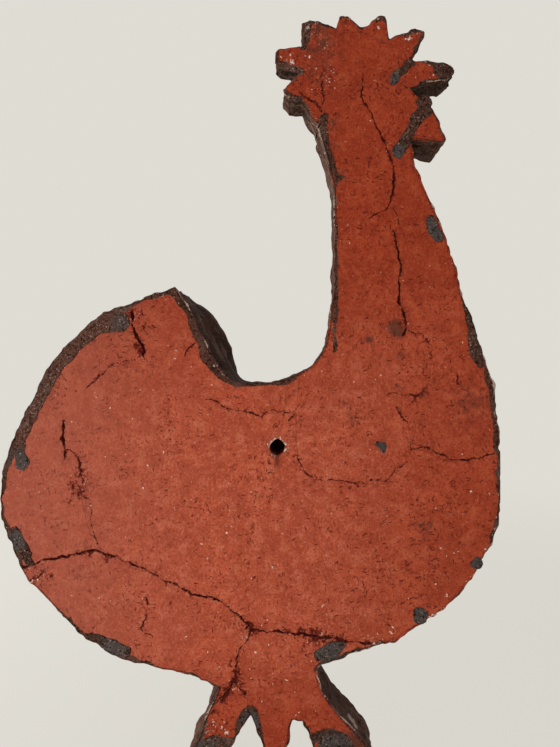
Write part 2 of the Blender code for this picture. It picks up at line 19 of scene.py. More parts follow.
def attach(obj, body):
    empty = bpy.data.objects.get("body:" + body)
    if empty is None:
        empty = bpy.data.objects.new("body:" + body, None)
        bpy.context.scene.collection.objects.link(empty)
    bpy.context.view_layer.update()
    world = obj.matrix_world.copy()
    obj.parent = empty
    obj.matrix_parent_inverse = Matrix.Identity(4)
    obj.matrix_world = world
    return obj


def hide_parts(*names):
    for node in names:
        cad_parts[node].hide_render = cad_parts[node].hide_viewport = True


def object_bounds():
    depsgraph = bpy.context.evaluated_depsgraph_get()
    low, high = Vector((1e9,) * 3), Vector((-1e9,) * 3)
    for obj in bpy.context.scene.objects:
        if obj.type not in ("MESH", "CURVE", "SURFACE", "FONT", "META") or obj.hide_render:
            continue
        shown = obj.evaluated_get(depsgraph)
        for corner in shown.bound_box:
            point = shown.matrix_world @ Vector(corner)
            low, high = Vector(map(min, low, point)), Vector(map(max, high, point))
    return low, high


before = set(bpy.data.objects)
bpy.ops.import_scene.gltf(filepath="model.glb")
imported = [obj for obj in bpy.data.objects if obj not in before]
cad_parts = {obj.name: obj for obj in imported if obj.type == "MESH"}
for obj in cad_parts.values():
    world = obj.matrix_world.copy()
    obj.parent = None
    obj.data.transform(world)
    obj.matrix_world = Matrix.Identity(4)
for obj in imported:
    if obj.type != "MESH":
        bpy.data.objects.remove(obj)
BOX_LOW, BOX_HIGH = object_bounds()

bl_info = {
    "name": "Rooster wall sculpture",
    "version": (1, 0, 0),
    "blender": (4, 5, 0),
    "location": "View3D > Sidebar > Rooster",
    "description": "Dresses a hand-built earthenware rooster in fired red clay and dark glaze",
    "category": "Object",
}

MM = 0.001
# An edge that turns more than this stays sharp
SHARP_FROM = math.radians(50.0)
HOLE_RADIUS = 4.7 * MM
# The clay this near to the hole's middle is the hole's own wall and rim
HOLE_REACH = 6.0 * MM
# Whatever lies within this of the plane of the wall belongs to the back
AT_BACK = 0.01 * MM
CUT_TOLERANCE = 0.002 * MM
# Points of a CAD mesh this near to each other are one point, and faces that turn less than this are one face
WELD_GAP = 0.005 * MM
FLAT_TURN = math.radians(0.2)
# A face belongs to the back if its normal's y is less than this
FACES_WALL = -0.9
# An edge this near to another piece is a seam and not outline, and a side this near is luted to that piece
SEAM_GAP = 0.45 * MM
LUTED_GAP = 0.5 * MM
# The mesh is halved within the first of these distances from a crack, and again within the second
CRACK_MESH_REACH = (1.3 * MM, 0.75 * MM)
# An edge of the coat's rim at the back that is longer than this is cut in two
RIM_STEP = 1.3 * MM
# Spacing of the wing's mesh, and of the plumes' and the eye's
WING_STEP, PLUME_STEP = 0.9 * MM, 0.6 * MM
# The glaze on the walls begins about this far from the back
GLAZE_BEGINS = 0.8 * MM
# A lap of glaze stands this far out from the clay
GLAZE_STEP = 0.15 * MM
# The back's relief fades out, and the walls' lumps fade in, over this depth of the walls
BLEND_DEPTH = 3.0 * MM
BODY = "root"
CLAY_NODES = (
    "body_slab", "tail_slab", "belly_slab", "leg_slab", "neck_slab", "throat_slab", "wattle_lump",
)
LUMP_NODES = (
    "beak_lump", "comb_point_1", "comb_point_2", "comb_point_3", "comb_point_4", "rear_lobe_upper",
    "rear_lobe_lower",
)
RUN_NODES = (
    "glaze_run_tail", "glaze_run_beak", "glaze_run_wattle", "glaze_run_throat", "glaze_run_breast",
    "glaze_run_leg", "glaze_run_belly", "glaze_run_rump", "glaze_beak_tip", "glaze_left_toe",
    "glaze_right_toe",
)
RELIEF_NODES = ("wing_relief", "tail_plume_1", "tail_plume_2", "tail_plume_3", "eye_relief")

# Cracks in the back: how deep each is, then its points as (x, z, half width)
CRACKS = {
    "crown": (
        1.3, (54.5, 234.3, 0.4), (53.6, 226.8, 0.4), (52.6, 219.3, 0.5), (55.1, 214.3, 0.6),
        (58.3, 208.3, 0.7), (62, 201.1, 0.7), (65.8, 193.6, 0.7), (68.3, 188, 0.7), (70.2, 183, 0.7),
        (71.4, 175.4, 0.7), (72.1, 167.9, 0.7), (71.7, 161, 0.7), (70.8, 154.8, 0.6), (68.9, 150.4, 0.6),
        (65.8, 147.3, 0.5), (61.4, 144.7, 0.4), (57, 143.5, 0.3),
    ),
    "crown_fork": (0.8, (73, 150.1, 0.25), (75.2, 144.1, 0.3), (76.4, 137.9, 0.25)),
    "neck": (
        2.2, (72.1, 135.3, 0.4), (73, 131, 0.5), (74.6, 125.9, 0.6), (75.8, 120.9, 0.7), (76.4, 115.9, 0.8),
        (76.1, 108.4, 0.8), (75.8, 100.9, 0.7), (75.2, 95.2, 0.8), (75.2, 90.2, 0.9), (77.1, 86.5, 0.8),
        (79, 82.7, 0.8), (80.2, 79, 0.7), (80.2, 75.2, 0.7), (78.3, 70.8, 0.5),
    ),
    "neck_fork": (0.7, (82.1, 73.3, 0.3), (86.5, 71.4, 0.3), (90.9, 69.6, 0.3), (96.2, 63.3, 0.2)),
    "rear_lobes": (
        1.5, (15, 222.4, 0.4), (18.8, 219.3, 0.5), (23.8, 215.6, 0.4), (26.9, 211.2, 0.4),
        (29.5, 206.8, 0.5), (25.7, 201.1, 0.5),
    ),
    "head_back": (
        0.8, (28.8, 236.9, 0.3), (27.6, 231.2, 0.3), (27.6, 226.2, 0.4), (29.5, 220.6, 0.5),
        (28.8, 216.8, 0.4), (27.6, 213, 0.3),
    ),
    "shoulder": (
        1.4, (94.2, 38.9, 0.6), (92.5, 37, 0.5), (90.7, 34.6, 0.5), (88, 32.8, 0.4), (86.3, 31.7, 0.6),
        (84.9, 27.4, 0.4), (81.3, 25.2, 0.2),
    ),
    "shoulder_hairline": (
        0.5, (69.1, 32.8, 0.25), (72.7, 34, 0.15), (76.3, 33.5, 0.3), (80.5, 33.4, 0.2), (85.6, 32.6, 0.35),
    ),
    "shoulder_low": (0.5, (74.1, 24.5, 0.2), (78.4, 18.7, 0.35), (80.6, 15.2, 0.3)),
    "breast": (
        0.8, (13, -5, 0.2), (14, -10, 0.35), (17.3, -16.5, 0.25), (23.7, -21.2, 0.35), (31, -21.5, 0.35),
        (41, -20.4, 0.35), (45.3, -21.6, 0.3), (51.1, -21.2, 0.55), (54.7, -22.6, 0.25),
    ),
    "breast_low": (
        0.8, (58.3, -20.8, 0.5), (63.3, -20.4, 0.55), (67.7, -21.2, 0.45), (71.2, -18.7, 0.4),
        (74.1, -14.3, 0.3), (77.7, -11.8, 0.45), (80.6, -8.9, 0.2),
    ),
    "breast_fork": (0.6, (83.1, 7.3, 0.3), (83.3, 2.9, 0.25), (83.5, -1.4, 0.45)),
    "breast_edge": (
        0.9, (83.5, -1.4, 0.3), (89.2, -0.7, 0.3), (95.7, -1.4, 0.25), (101.5, -5, 0.3), (107.8, -7.8, 0.4),
        (112, -8.6, 0.5), (116.5, -8.1, 0.6), (122.8, -6.9, 0.6), (129.1, -5.6, 0.6), (134.7, -3.8, 0.6),
    ),
    "belly_left": (
        1.8, (-164.2, -75.8, 0.9), (-160.7, -75.2, 0.9), (-154.1, -72.7, 0.8), (-146.6, -70.8, 0.8),
        (-141.6, -69.6, 0.7), (-136.6, -68.9, 0.8), (-125.3, -67, 0.8), (-114.7, -65.2, 0.8),
        (-108.4, -67.4, 0.8), (-102.1, -69.6, 0.7), (-96.5, -71.4, 0.5), (-90.2, -73.3, 0.35),
        (-82.1, -77.7, 0.25), (-73.9, -82.7, 0.3),
    ),
    "belly_right": (
        1.8, (-73.9, -82.7, 0.3), (-68.9, -85.2, 0.5), (-63.6, -87.4, 0.6), (-58.3, -90.2, 0.6),
        (-53.3, -92.7, 0.6), (-48.2, -93.4, 0.6), (-42.6, -94, 0.6), (-37.6, -97.1, 0.6),
        (-32, -100.3, 0.7), (-25.1, -105.9, 0.8), (-18.8, -111.5, 0.9), (-15.7, -115.3, 1),
    ),
    "belly_foot": (
        1.6, (-20.1, -114, 0.9), (-13.8, -115.3, 0.9), (-6.3, -115.6, 0.7), (1.3, -115.9, 0.6),
        (7.5, -116.9, 0.6), (13.8, -117.8, 0.7), (20.1, -118.4, 0.8), (26.3, -119.1, 0.8),
        (33.2, -120, 0.8), (40.7, -120.9, 0.8), (48.2, -122.2, 0.8), (55.8, -122.8, 0.8),
        (63.9, -122.8, 0.7), (72.1, -122.2, 0.5),
    ),
    "leg": (
        1.8, (-16.9, -115.3, 0.9), (-19.4, -120.9, 0.5), (-21.9, -125.3, 0.35), (-24.4, -130.3, 0.3),
        (-26.3, -136, 0.6), (-26.9, -141.6, 1), (-26.9, -146.6, 1.5), (-30.1, -152.3, 1.3),
        (-33.8, -158.5, 1),
    ),
    "leg_fork": (1.4, (-26.3, -149.1, 0.6), (-23.2, -152.3, 0.4), (-20.1, -155.4, 0.3)),
    "tail_top": (
        2.6, (-90.9, 84.6, 0.9), (-91.5, 80.8, 1.1), (-92.1, 76.4, 1), (-90.2, 73.3, 1.1),
        (-88.4, 70.2, 1.1), (-86.8, 67, 1.1), (-85.2, 63.9, 1.3), (-84.6, 59.5, 1.3), (-84, 54.5, 0.8),
    ),
    "tail_under": (
        0.6, (-89.6, 54.5, 0.3), (-94, 54.5, 0.3), (-99, 53.9, 0.3), (-103.4, 52, 0.3),
        (-107.8, 48.9, 0.35), (-111.5, 45.1, 0.35), (-114.7, 42, 0.4), (-117.8, 39.5, 0.3),
        (-120.3, 37, 0.2),
    ),
    "tail_slit": (
        2.6, (-134.7, 17.5, 0.5), (-135, 13.8, 1.1), (-135.3, 9.4, 1.9), (-135, 5, 2.1), (-134.4, 0.6, 1.6),
        (-133.5, -3.1, 0.8), (-132.6, -8.6, 0.3),
    ),
    "tail_side": (
        1, (-132.8, -1.3, 0.3), (-130.3, -1.9, 0.4), (-127.2, -5.6, 0.4), (-124.7, -9.4, 0.4),
        (-123.4, -15, 0.4), (-122.2, -20.7, 0.5), (-122.5, -25.7, 0.6), (-122.8, -30.1, 0.5),
    ),
    "tail_low": (
        0.6, (-120.9, -31.3, 0.2), (-118.4, -33.2, 0.25), (-117.2, -40.7, 0.25), (-116.5, -48.9, 0.25),
        (-115.3, -55.8, 0.3), (-114, -61.4, 0.35),
    ),
    "rump": (0.8, (-156.7, -82.7, 0.35), (-151, -80.2, 0.3), (-146, -77.7, 0.2)),
    "saddle_hairline": (
        0.5, (-44.6, 30.5, 0.2), (-38.8, 29.5, 0.3), (-35, 25.7, 0.2), (-24.9, 22.6, 0.3),
        (-18.2, 21.9, 0.15), (-13.4, 19.5, 0.25), (-10.5, 19.7, 0.15), (-5.7, 22.8, 0.35), (1, 21.8, 0.2),
        (6.2, 21.1, 0.25),
    ),
    "saddle_branch": (0.5, (13.5, 26.2, 0.15), (7.7, 17.1, 0.3)),
    "belly_crumbs": (
        0.8, (-81.5, -94.2, 0.4), (-82, -100, 0.3), (-81.5, -106.5, 0.45), (-85.8, -112.2, 0.3),
        (-85.1, -115.8, 0.4), (-79.3, -118, 0.3),
    ),
    "throat_mark": (0.6, (112.6, 46, 0.2), (112.2, 38, 0.35)),
    "saddle": (1, (-58.9, 55.8, 0.4), (-57.6, 58.3, 0.35), (-55.1, 61.4, 0.3), (-52, 64.5, 0.35)),
}

# Pits and rough hollows in the back: (x, z, radius, depth)
PITS = (
    (-125.1, -28.4, 3.4, 1.8), (-128, -24, 4.6, 1), (-130, -33, 4, 0.7), (-123, -17, 2.6, 0.9),
    (-84.9, 74.7, 2.6, 1.3), (-79.5, 74.7, 2.2, 1), (-88.5, 63.3, 2.6, 1.2), (-85.5, 60.3, 3.2, 1.5),
    (-91.5, 85.5, 2, 1.2), (-86, 84, 2.4, 0.7), (-109, 54, 2.4, 0.7), (-119, -68, 2.6, 0.8),
    (-108, -70, 3, 0.8), (-143, -80, 3, 0.8), (-66.5, -98.3, 2.4, 0.8), (-18, -112.5, 3.2, 1.6),
    (-15, -117, 3, 1.3), (6, -116, 2.8, 1), (15, -116.5, 3.6, 1.2), (23.5, -118, 5, 1.5),
    (31.5, -120, 5, 1.5), (39, -121, 4.4, 1.3), (56, -122.5, 3, 1), (64, -122, 2.4, 0.9),
    (-27.5, -147.3, 4.6, 1.9), (-31.5, -153.4, 3.8, 1.6), (-34.1, -158.8, 3, 1.5), (-22.7, -149.9, 3, 1.5),
    (-21, -155.2, 2.6, 1.3), (-25.8, -141.1, 3, 1.4), (-30, -136, 2.2, 0.9), (26, -19.5, 2.4, 0.7),
    (44.5, -25, 1.4, 0.9), (50, -23.5, 1.8, 0.8), (-39, -167, 2.6, 1), (58.5, 146.5, 1.8, 0.9),
    (77, 78, 2.6, 1.2), (79.5, 84, 2.2, 0.9), (86, 29, 3, 1), (92, 35, 2.4, 0.9), (36, 209, 2.2, 0.8),
    (43, 180, 2, 0.8),
)

# Glaze that laps over the edge at the back: (x, z, how far it reaches in)
LAPS = (
    ((-64.4, 100, 5), (-55, 85.6, 4), (-48, 70, 5), (-41, 56.8, 6), (-34, 47.7, 5.6), (-27, 42.2, 4),
     (-21.9, 40, 2.2), (-12, 40.2, 1.8), (3, 42, 3.6), (9, 44.5, 3), (14, 46.5, 1.2)),
    ((-64.4, 100, 5), (-69, 98.8, 4.6), (-73.8, 97.2, 3), (-86.3, 92.7, 2), (-95, 89.6, 3.4),
     (-113.8, 81, 4.6), (-137.5, 58.1, 4.4), (-155, 28.1, 4.2), (-166, 2, 3.4), (-171.5, -18, 2.2),
     (-174.4, -31.9, 1.6), (-172.8, -46, 2.4), (-167, -64, 4.4), (-160, -74, 2.6)),
    ((-131, -108, 2), (-112, -122, 3.4), (-90, -133, 3.6), (-79.4, -137, 1.6)),
    ((36.4, 150, 0.4), (36.5, 165, 1), (37.8, 169, 2.2), (36, 173, 1.6), (34.6, 179, 1.4), (32.2, 185, 2),
     (29.5, 193, 3.6), (27, 200, 5), (29, 207, 2.2)),
    ((38, 169.5, 1.4), (41.5, 169.5, 0.8)),
    ((35.4, 60, 1), (36, 80, 1.8), (36.4, 112, 1.4), (36, 135, 1.6)),
    ((38.5, 266, 1), (40.5, 269.5, 2), (47, 267, 0.8)),
    ((61, 265.5, 0.6), (66.5, 269, 2.4), (70, 262, 1.4), (70.8, 256.5, 0.9)),
    ((21, -183.5, 3.4), (27, -181.5, 3.4), (35, -180.5, 3.6), (41, -182.5, 3), (46, -190, 3)),
    ((-50, -190, 3), (-46, -186, 3.2), (-38, -185, 3.8), (-30, -184.5, 3.4)),
    ((78, 258, 0.8), (86, 261.5, 1.8), (91, 259.5, 2.2), (89.5, 252, 1.4)),
    ((138.6, -35, 1.6), (139, -26, 2), (139.2, -12, 2.2), (139.4, -3.4, 3.2), (138.3, 10, 3.4),
     (137, 25, 3.4), (135.4, 37, 4), (131, 51, 3), (120, 80.6, 2.6), (116, 94, 1.4)),
    ((138.4, -37, 1.6), (136.8, -45, 3.2), (133.4, -56, 2.2), (131, -63, 0.8)),
    ((-26.5, -182.5, 2), (-22, -173, 5), (-18, -167, 5.6), (-13.4, -176, 3.6), (-10, -186.3, 1.4)),
    ((21.5, -188, 2), (25.5, -199, 3)),
    ((-36.3, -151.3, 1), (-44.4, -170, 1.6), (-51.5, -185, 3), (-58.5, -199, 4)),
    ((24.4, -140, 1.6), (31.3, -135, 3.4), (46.3, -129.4, 2.2), (71.5, -121.2, 1.4)),
    ((-2, 247, 2), (-2.2, 241.6, 3), (4.5, 237.6, 3.6), (14.4, 235, 2.4)),
    ((3.8, 223.6, 3), (7.5, 219.6, 2.6), (15, 218.8, 1.4)),
    ((16.6, 267, 4.6), (16.4, 262, 5.2), (15.8, 256.5, 4.4), (15.8, 251.5, 2.4)),
    ((20.6, 267.5, 3), (28.8, 264.8, 2), (36.3, 261.9, 1)),
    ((88.4, 251.3, 1.4), (84.4, 242.5, 2.4), (85, 241, 2)),
    ((83.8, 191.9, 0.8), (101, 190.8, 1.2), (105, 194, 1.8), (102.8, 201, 1.4)),
    ((62.4, 2.2, 1.7), (65.6, 1, 2.3), (66.4, -3.2, 1.1)),
    ((89.4, 228.1, 1), (105, 229.4, 3.6), (109.6, 233.8, 5.6), (107.3, 239.5, 5), (92, 242.3, 1.6)),
)

# Where pressed clay spread past its cut edge: (x, z, radius), and how far it went right and up
SWELLS = (
    (134.5, -48, 20, 2.4, -0.9), (104, -99, 16, 1.6, -1.8), (74, -121, 9, 0.5, -1.6),
    (-119, -118, 20, -1.6, -2.8), (121, 77, 22, 1.6, 0.6), (43.5, 268, 6, 0, 2.6), (66, 268, 5, 0.4, 2.4),
    (110, 236, 9, 2, 0.4), (103, 186, 9, 1.6, -1.2), (56, -178, 12, -1.6, 0), (-45, -161, 8, -1.8, 0.6),
    (90, 259, 5, 2, 0.8), (88, 178, 8, 1.5, -1.2), (6, 222, 6, -1.6, 0), (13, 207, 6, -1.8, -0.6),
    (-156, -79, 14, -1.6, -1.5), (-92, -131, 14, -0.6, -1.3),
)

# Dark smudges: (x, z, radius, strength), and places worn to rough grog
SMUDGES = (
    (26, 262, 9, 0.62), (29, 252, 9, 0.58), (22, 248, 7, 0.5), (35.5, 246, 7, 0.4), (26, 243, 6, 0.4),
    (28, 228, 6, 0.3), (49.5, -185, 10, 0.95), (56, -192, 9, 0.9), (73.3, 73.3, 6.5, 0.85),
    (57.6, 67, 3.4, 0.8), (76.4, 57.6, 3.8, 0.6), (64.4, 0, 5, 0.6), (48, 16, 3.4, 0.5),
    (76.3, 37.5, 2.8, 0.6), (90.5, 32.6, 2.8, 0.6), (1, -22, 4, 0.35), (50, -186, 6, 0.6),
    (54, -196, 6, 0.6), (31, 238, 5, 0.5), (119.5, 27, 17, 0.42), (91.5, -49.5, 9, 0.4),
    (48.5, 18.5, 8, 0.36), (44, 27.5, 7, 0.3), (33, 175, 4.5, 0.6), (36.5, 190, 5, 0.45),
    (36, 107, 3, 0.35), (22, 236, 8, 0.35), (-124, -80, 7, 0.3), (-63, -60, 18, 0.08), (1, 1, 8, 0.15),
    (-124.4, -61, 4, 0.5), (92, 20, 12, 0.15), (52, 60, 12, 0.15), (34, 204, 5, 0.5), (40, 172, 4, 0.5),
    (34, -107, 9, 0.12),
)
WORN = (
    (22, 262, 10), (29, 252, 9), (48, -184, 8), (44, 268, 4.5), (64, 267.5, 5), (85, 259.5, 6), (6, 243, 6),
    (16, 236, 7), (104, 236, 6), (-57, -208, 8), (45, -208, 9), (-26, -150, 7), (-20, -118, 6),
    (-76, 96, 8), (-92, 82, 7), (-120, -24, 7), (95, 224, 5), (-150, -80, 8), (86, 196, 5), (30, 230, 12),
    (28, 200, 7), (28, -119, 10), (62, -125, 8), (-44, -178, 9), (56, -190, 10), (-62, 100, 6),
)

# The larger grains of grog and chips, as they lie from the camera: (x, z, radius) and perhaps a strength
CHIPS = (
    (19, 262.3, 1.7), (23.4, 266.2, 1.4), (27.3, 262.3, 1.3, 0.8), (21.9, 258.4, 1.1),
    (31.2, 260.8, 1.1, 0.7), (45.4, 267.7, 1.5), (47.9, 267.2, 1.1), (62.5, 267, 1.2), (62.5, 262.3, 1.3),
    (66.9, 269.1, 1.1), (82.1, 255.9, 1.9), (79.2, 256.4, 1.1), (89, 259.3, 1.1), (93.9, 239.3, 1.2),
    (97.3, 233.9, 1.3), (105.6, 239.8, 1.1), (107.6, 233.9, 1.2), (86.5, 231.4, 1), (83.1, 204, 1.2),
    (83.6, 199.1, 1.2), (8.2, 241.7, 2.2), (7.2, 245.6, 1.1), (20, 244.2, 1.3), (23.9, 237.3, 1.1),
    (32.2, 229, 1.2), (21.9, 224.1, 1), (42.5, 191.8, 1), (49.8, 188.9, 1), (57.6, 204.5, 1),
    (66.5, 182, 1.2), (29.3, 184, 1), (45.4, 127.7, 1.2), (-68.1, 63.3, 1.1), (-63.9, 60.3, 1),
    (-72.3, -3.9, 1.4), (-107.7, -6.3, 1.1), (-91.5, 17.7, 1.1), (-102.3, 15.3, 1), (-125, 60.3, 1.3),
    (-39.9, 51.9, 1.5), (-35.1, 45.9, 1.1), (-4.6, 41.1, 1.4), (-83.7, 93.3, 1.3), (-48.3, -61.4, 1),
    (-117.3, -36.8, 1), (-146.6, -26, 1), (27.8, -98.9, 1.6), (-6, -123.6, 1.2), (-18.3, -138.9, 1.2),
    (5, -146.4, 1.3), (11.6, -168, 1.1), (30.9, -104.7, 1), (29.5, -125.6, 2, 0.8), (-37.2, -138.1, 1),
    (33.1, -84, 1), (44.4, -167.4, 1.5), (46, -169.6, 1.9), (47.8, -171.8, 2.1), (49.6, -173.8, 1.8),
    (51, -175.4, 1.4), (-32.4, -179, 2.8, 0.85), (-36, -176.5, 2.2, 0.85), (-40.5, -172.5, 1.8, 0.85),
    (134.2, 38.8, 1.3), (136, 21.2, 1.3), (136.9, 18.8, 1.2), (136.8, 14.7, 1.2), (138.6, -11.2, 1.4),
    (138.6, -18, 1.4), (138.6, -21.8, 1.2), (138, -29.5, 1.5), (134.5, -43.3, 1.3), (134.1, -50.5, 1.2),
    (133.5, -54.1, 1.5), (130.3, -66.1, 1.3), (128.7, -64.9, 1.4), (131.8, -29.1, 1.3), (110, -65.7, 1.2),
    (112.3, -65.1, 1.2), (117.2, -47.1, 1), (104.2, -91.9, 1.4), (95.2, -104.5, 1.3), (117.2, -84.3, 1.2),
    (71.9, -112, 1.2), (70.8, -115.1, 1.2), (62.2, -117.1, 1.1), (56.3, -118.2, 1.2), (60.4, -123.4, 1.4),
    (63.4, -123.3, 1.3),
)

# Where the clay is crowded with marks of burnt chaff: (x, z, radius, strength)
CHAFF = (
    (70, -78, 26, 1), (95, -62, 24, 0.8), (44, -48, 22, 0.7), (104, -20, 20, 0.5), (30, -92, 22, 0.6),
    (-70, -96, 24, 0.4), (84, 52, 22, 0.4), (-96, 60, 16, 0.5),
)

# Where a run of glaze ends in a grey bead: (x, z, radius)
BEADS = (
    (73, 230, 5), (75.5, 185, 5.5), (98.5, 136, 11), (-99, 78, 9, 0.65), (-161, -8, 9), (36, -192, 17),
    (-46, -196, 15), (32, -128, 12), (-102, -123, 10), (-163, -58, 7), (-17.5, -171, 8), (65, 0, 7, 0.8),
    (122.8, -72.1, 7), (91.5, -105.3, 9),
)
# Two drops that lie alone, and glaze pooled between beak and wattle: (x, z, radius, depth)
DROPS = {
    "glaze_drop_breast": (124.0, -72.6, 3.9, 0.9), "glaze_drop_belly": (88.9, -105.0, 5.2, 0.9),
    "glaze_pool_beak": (91.6, 215.6, 5.0, 7.0),
}

# The camera stands over this place of the back, at the distance that the walls' visible widths give
CAMERA_PLACE = (11.3, 49.5)
CAMERA_DISTANCE = 352.1
SENSOR_WIDTH = 36.0
PICTURE_WIDTH, PICTURE_HEIGHT = 560, 747
MM_PER_PIXEL = 0.6266
PICTURE_ORIGIN = (278.0, 447.0)


def linear_colour(code):
    """The linear RGB of an sRGB hex colour such as #AC5037."""
    parts = [int(code[i:i + 2], 16) / 255.0 for i in (1, 3, 5)]
    return tuple(c / 12.92 if c <= 0.04045 else ((c + 0.055) / 1.055) ** 2.4 for c in parts)


def colour(name, description, code):
    """A colour setting, from its sRGB hex code."""
    return FloatVectorProperty(
        name=name, description=description, default=linear_colour(code), subtype="COLOR", size=3, min=0.0,
        max=1.0,
    )


def length(name, description, millimetres):
    """A length setting, from millimetres."""
    return FloatProperty(
        name=name, description=description, default=millimetres * MM, subtype="DISTANCE", unit="LENGTH",
        min=0.0,
    )


class ROOSTER_PG_clay(PropertyGroup):
    body: colour("Body", "Brick red of the fired clay", "#BF573A")
    deep: colour("Deep red", "Redder, darker patches where the clay was smoothed", "#9C3F28")
    pale: colour("Pale red", "Dry, paler patches", "#D07256")
    fleck: colour("Burnt fleck", "Holes that chaff left when it burned out", "#691A0A")
    grog: colour("Grog", "Crushed pale firebrick in the clay", "#EBD8C6")
    # The crack colour is painted into the bottoms of cracks and pits and down the hole: partly dirt, partly
    # painted shade of these hollows
    crack: colour("Crack", "Bottom of a crack", "#560D04")
    # Painted shade: multiplied into the clay towards the head, the feet and the beak's side, where the light
    # falls off and less sheen lies
    falloff_shade: colour("Painted heat", "Multiplied into the clay where the lighting was dimmest", "#DFBA98")
    # Painted sheen: the paler, greyer red that the window's sheen lays over the tail's side
    sheen: colour("Sheen", "Pale dust that dulls the tail's side", "#9C5848")
    smudge: colour("Smudge", "Soot and metal stains", "#5A3225")
    rust: colour("Rust", "Streak that a nail left under the hole", "#6B2A10")
    step: length("Mesh step", "Spacing of the back's mesh", 1.2)
    wave_height: length("Wave height", "How uneven the hand-smoothed back is", 0.35)
    wave_size: length("Wave size", "Distance across one wave of the back", 22.0)
    edge_rounding: length("Edge rounding", "Softening of the back's edge", 0.7)


class ROOSTER_PG_glaze(PropertyGroup):
    thick: colour("Thick glaze", "Chocolate brown where the glaze is thick", "#2E1A13")
    brown: colour("Brown glaze", "Lighter brown where the glaze is thinner", "#523828")
    thin: colour("Thin glaze", "Reddish brown where the glaze is thin over clay", "#643E33")
    bead: colour("Bead", "Grey of the matt ends of the runs", "#4C4644")
    grog: colour("Grog in glaze", "Pale grog that shows through the glaze", "#B9A091")
    # Light specks of the runs: partly grit, partly painted glints of the glaze's glossy bumps
    grit_and_glint: colour("Grit", "Light specks of the dry, gritty runs", "#93786D")
    # The pinholes' near black is painted shade of the small craters
    pinhole: colour("Pinhole", "Bottom of a pinhole", "#160D0A")
    step: length("Mesh step", "Spacing of the coat's mesh", 2.0)
    lump_step: length("Lump mesh step", "Spacing of the small lumps' mesh", 0.9)
    run_step: length("Run mesh step", "Spacing of the runs' mesh", 0.5)
    lump_height: length("Lump height", "How lumpy the hand-built walls are", 0.5)
    lump_size: length("Lump size", "Distance across one lump of the walls", 9.0)
    run_height: length("Run height", "How far a run stands out from the clay", 0.75)


class ROOSTER_PG_stage(PropertyGroup):
    floor: colour("Floor", "Pale floor and background", "#DFDCD4")
    key_power: FloatProperty(
        name="Key light", description="Power of the large lamp at the left, in watts", default=22.0, min=0.0,
    )
    fill: FloatProperty(
        name="Fill light", description="Strength of the even light from all round", default=0.42, min=0.0,
    )


def lattice_noise(points, size, seed):
    """Smooth noise from -1 to 1 at the points, in bumps about size across."""
    scaled = points / size
    cell = np.floor(scaled).astype(np.int64)
    part = scaled - cell
    part = part * part * (3.0 - 2.0 * part)
    total = np.zeros(len(points))
    for corner in range(8):
        step = np.array([corner & 1, corner >> 1 & 1, corner >> 2 & 1])
        key = ((cell + step) @ np.array([374761393, 668265263, 1103515245]) + seed * 974634777)
        key = (key ^ (key >> 13)) * 1274126177
        key = (key ^ (key >> 16)) & 0xFFFFF
        weight = np.where(step == 1, part, 1.0 - part).prod(1)
        total += (key / 0x7FFFF - 1.0) * weight
    return total


def bumps(points, across, seed, height):
    """Smooth bumps, with their width and height in millimetres."""
    return lattice_noise(points, across * MM, seed) * height * MM


def rough_noise(points, size, seed, octaves=2):
    """Noise from about -1 to 1 with finer bumps on the coarse ones."""
    total, height = np.zeros(len(points)), 1.0
    for octave in range(octaves):
        total += lattice_noise(points, size / 2.2 ** octave, seed + 17 * octave) * height
        height *= 0.5
    return total


def smooth_step(values, low, high):
    """0 below low, 1 above high, and a soft rise between them."""
    share = np.clip((values - low) / (high - low), 0.0, 1.0)
    return share * share * (3.0 - 2.0 * share)


def gap_from(points, x=0.0, z=0.0):
    """How far across the back each point lies from a place in millimetres, or from the hole's middle."""
    return np.hypot(points[:, 0] - x * MM, points[:, 2] - z * MM)


# How far from a line its reach is still worked out, and how many points are worked on at once
FAR = 25.0 * MM
CHUNK = 4096


class Strokes:
    """Lines on the back with a half width at each point, in metres."""

    def __init__(self, strokes):
        starts, ends, self.depths = [], [], []
        for depth, points in strokes:
            places = np.array(points, float) * MM
            starts.append(places[:-1])
            ends.append(places[1:])
            self.depths += [depth * MM] * (len(places) - 1)
        self.starts, self.ends = np.concatenate(starts), np.concatenate(ends)
        self.depths = np.array(self.depths)

    def reach(self, places):
        """How far outside the nearest line each (x, z) place lies, and that line's half width and depth."""
        outside, widths, depths = (np.full(len(places), value) for value in (FAR, MM, 0.0))
        low, high = places.min(0) - FAR, places.max(0) + FAR
        close = (np.maximum(self.starts, self.ends)[:, :2] > low).all(1)
        close &= (np.minimum(self.starts, self.ends)[:, :2] < high).all(1)
        if not close.any():
            return outside, widths, depths
        starts, ends, depth = self.starts[close], self.ends[close], self.depths[close]
        across, up = (ends - starts)[:, :2].T
        length_squared = np.maximum(across ** 2 + up ** 2, 1e-12)
        for first in range(0, len(places), CHUNK):
            some = slice(first, first + CHUNK)
            right = places[some, :1] - starts[:, 0]
            above = places[some, 1:] - starts[:, 1]
            share = np.clip((right * across + above * up) / length_squared, 0.0, 1.0)
            width = starts[:, 2] + share * (ends[:, 2] - starts[:, 2])
            gap = np.hypot(right - share * across, above - share * up) - width
            nearest = gap.argmin(1)
            row = np.arange(len(nearest))
            outside[some] = np.minimum(gap[row, nearest], FAR)
            widths[some], depths[some] = width[row, nearest], depth[nearest]
        return outside, widths, depths


def merged_copy(node):
    """A node's shape with its loose triangles merged and its flat faces whole."""
    shape = bmesh.new()
    shape.from_mesh(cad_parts[node].data)
    bmesh.ops.remove_doubles(shape, verts=shape.verts, dist=WELD_GAP)
    bmesh.ops.dissolve_limit(
        shape, angle_limit=FLAT_TURN, verts=shape.verts, edges=shape.edges,
        use_dissolve_boundaries=False,
    )
    return shape


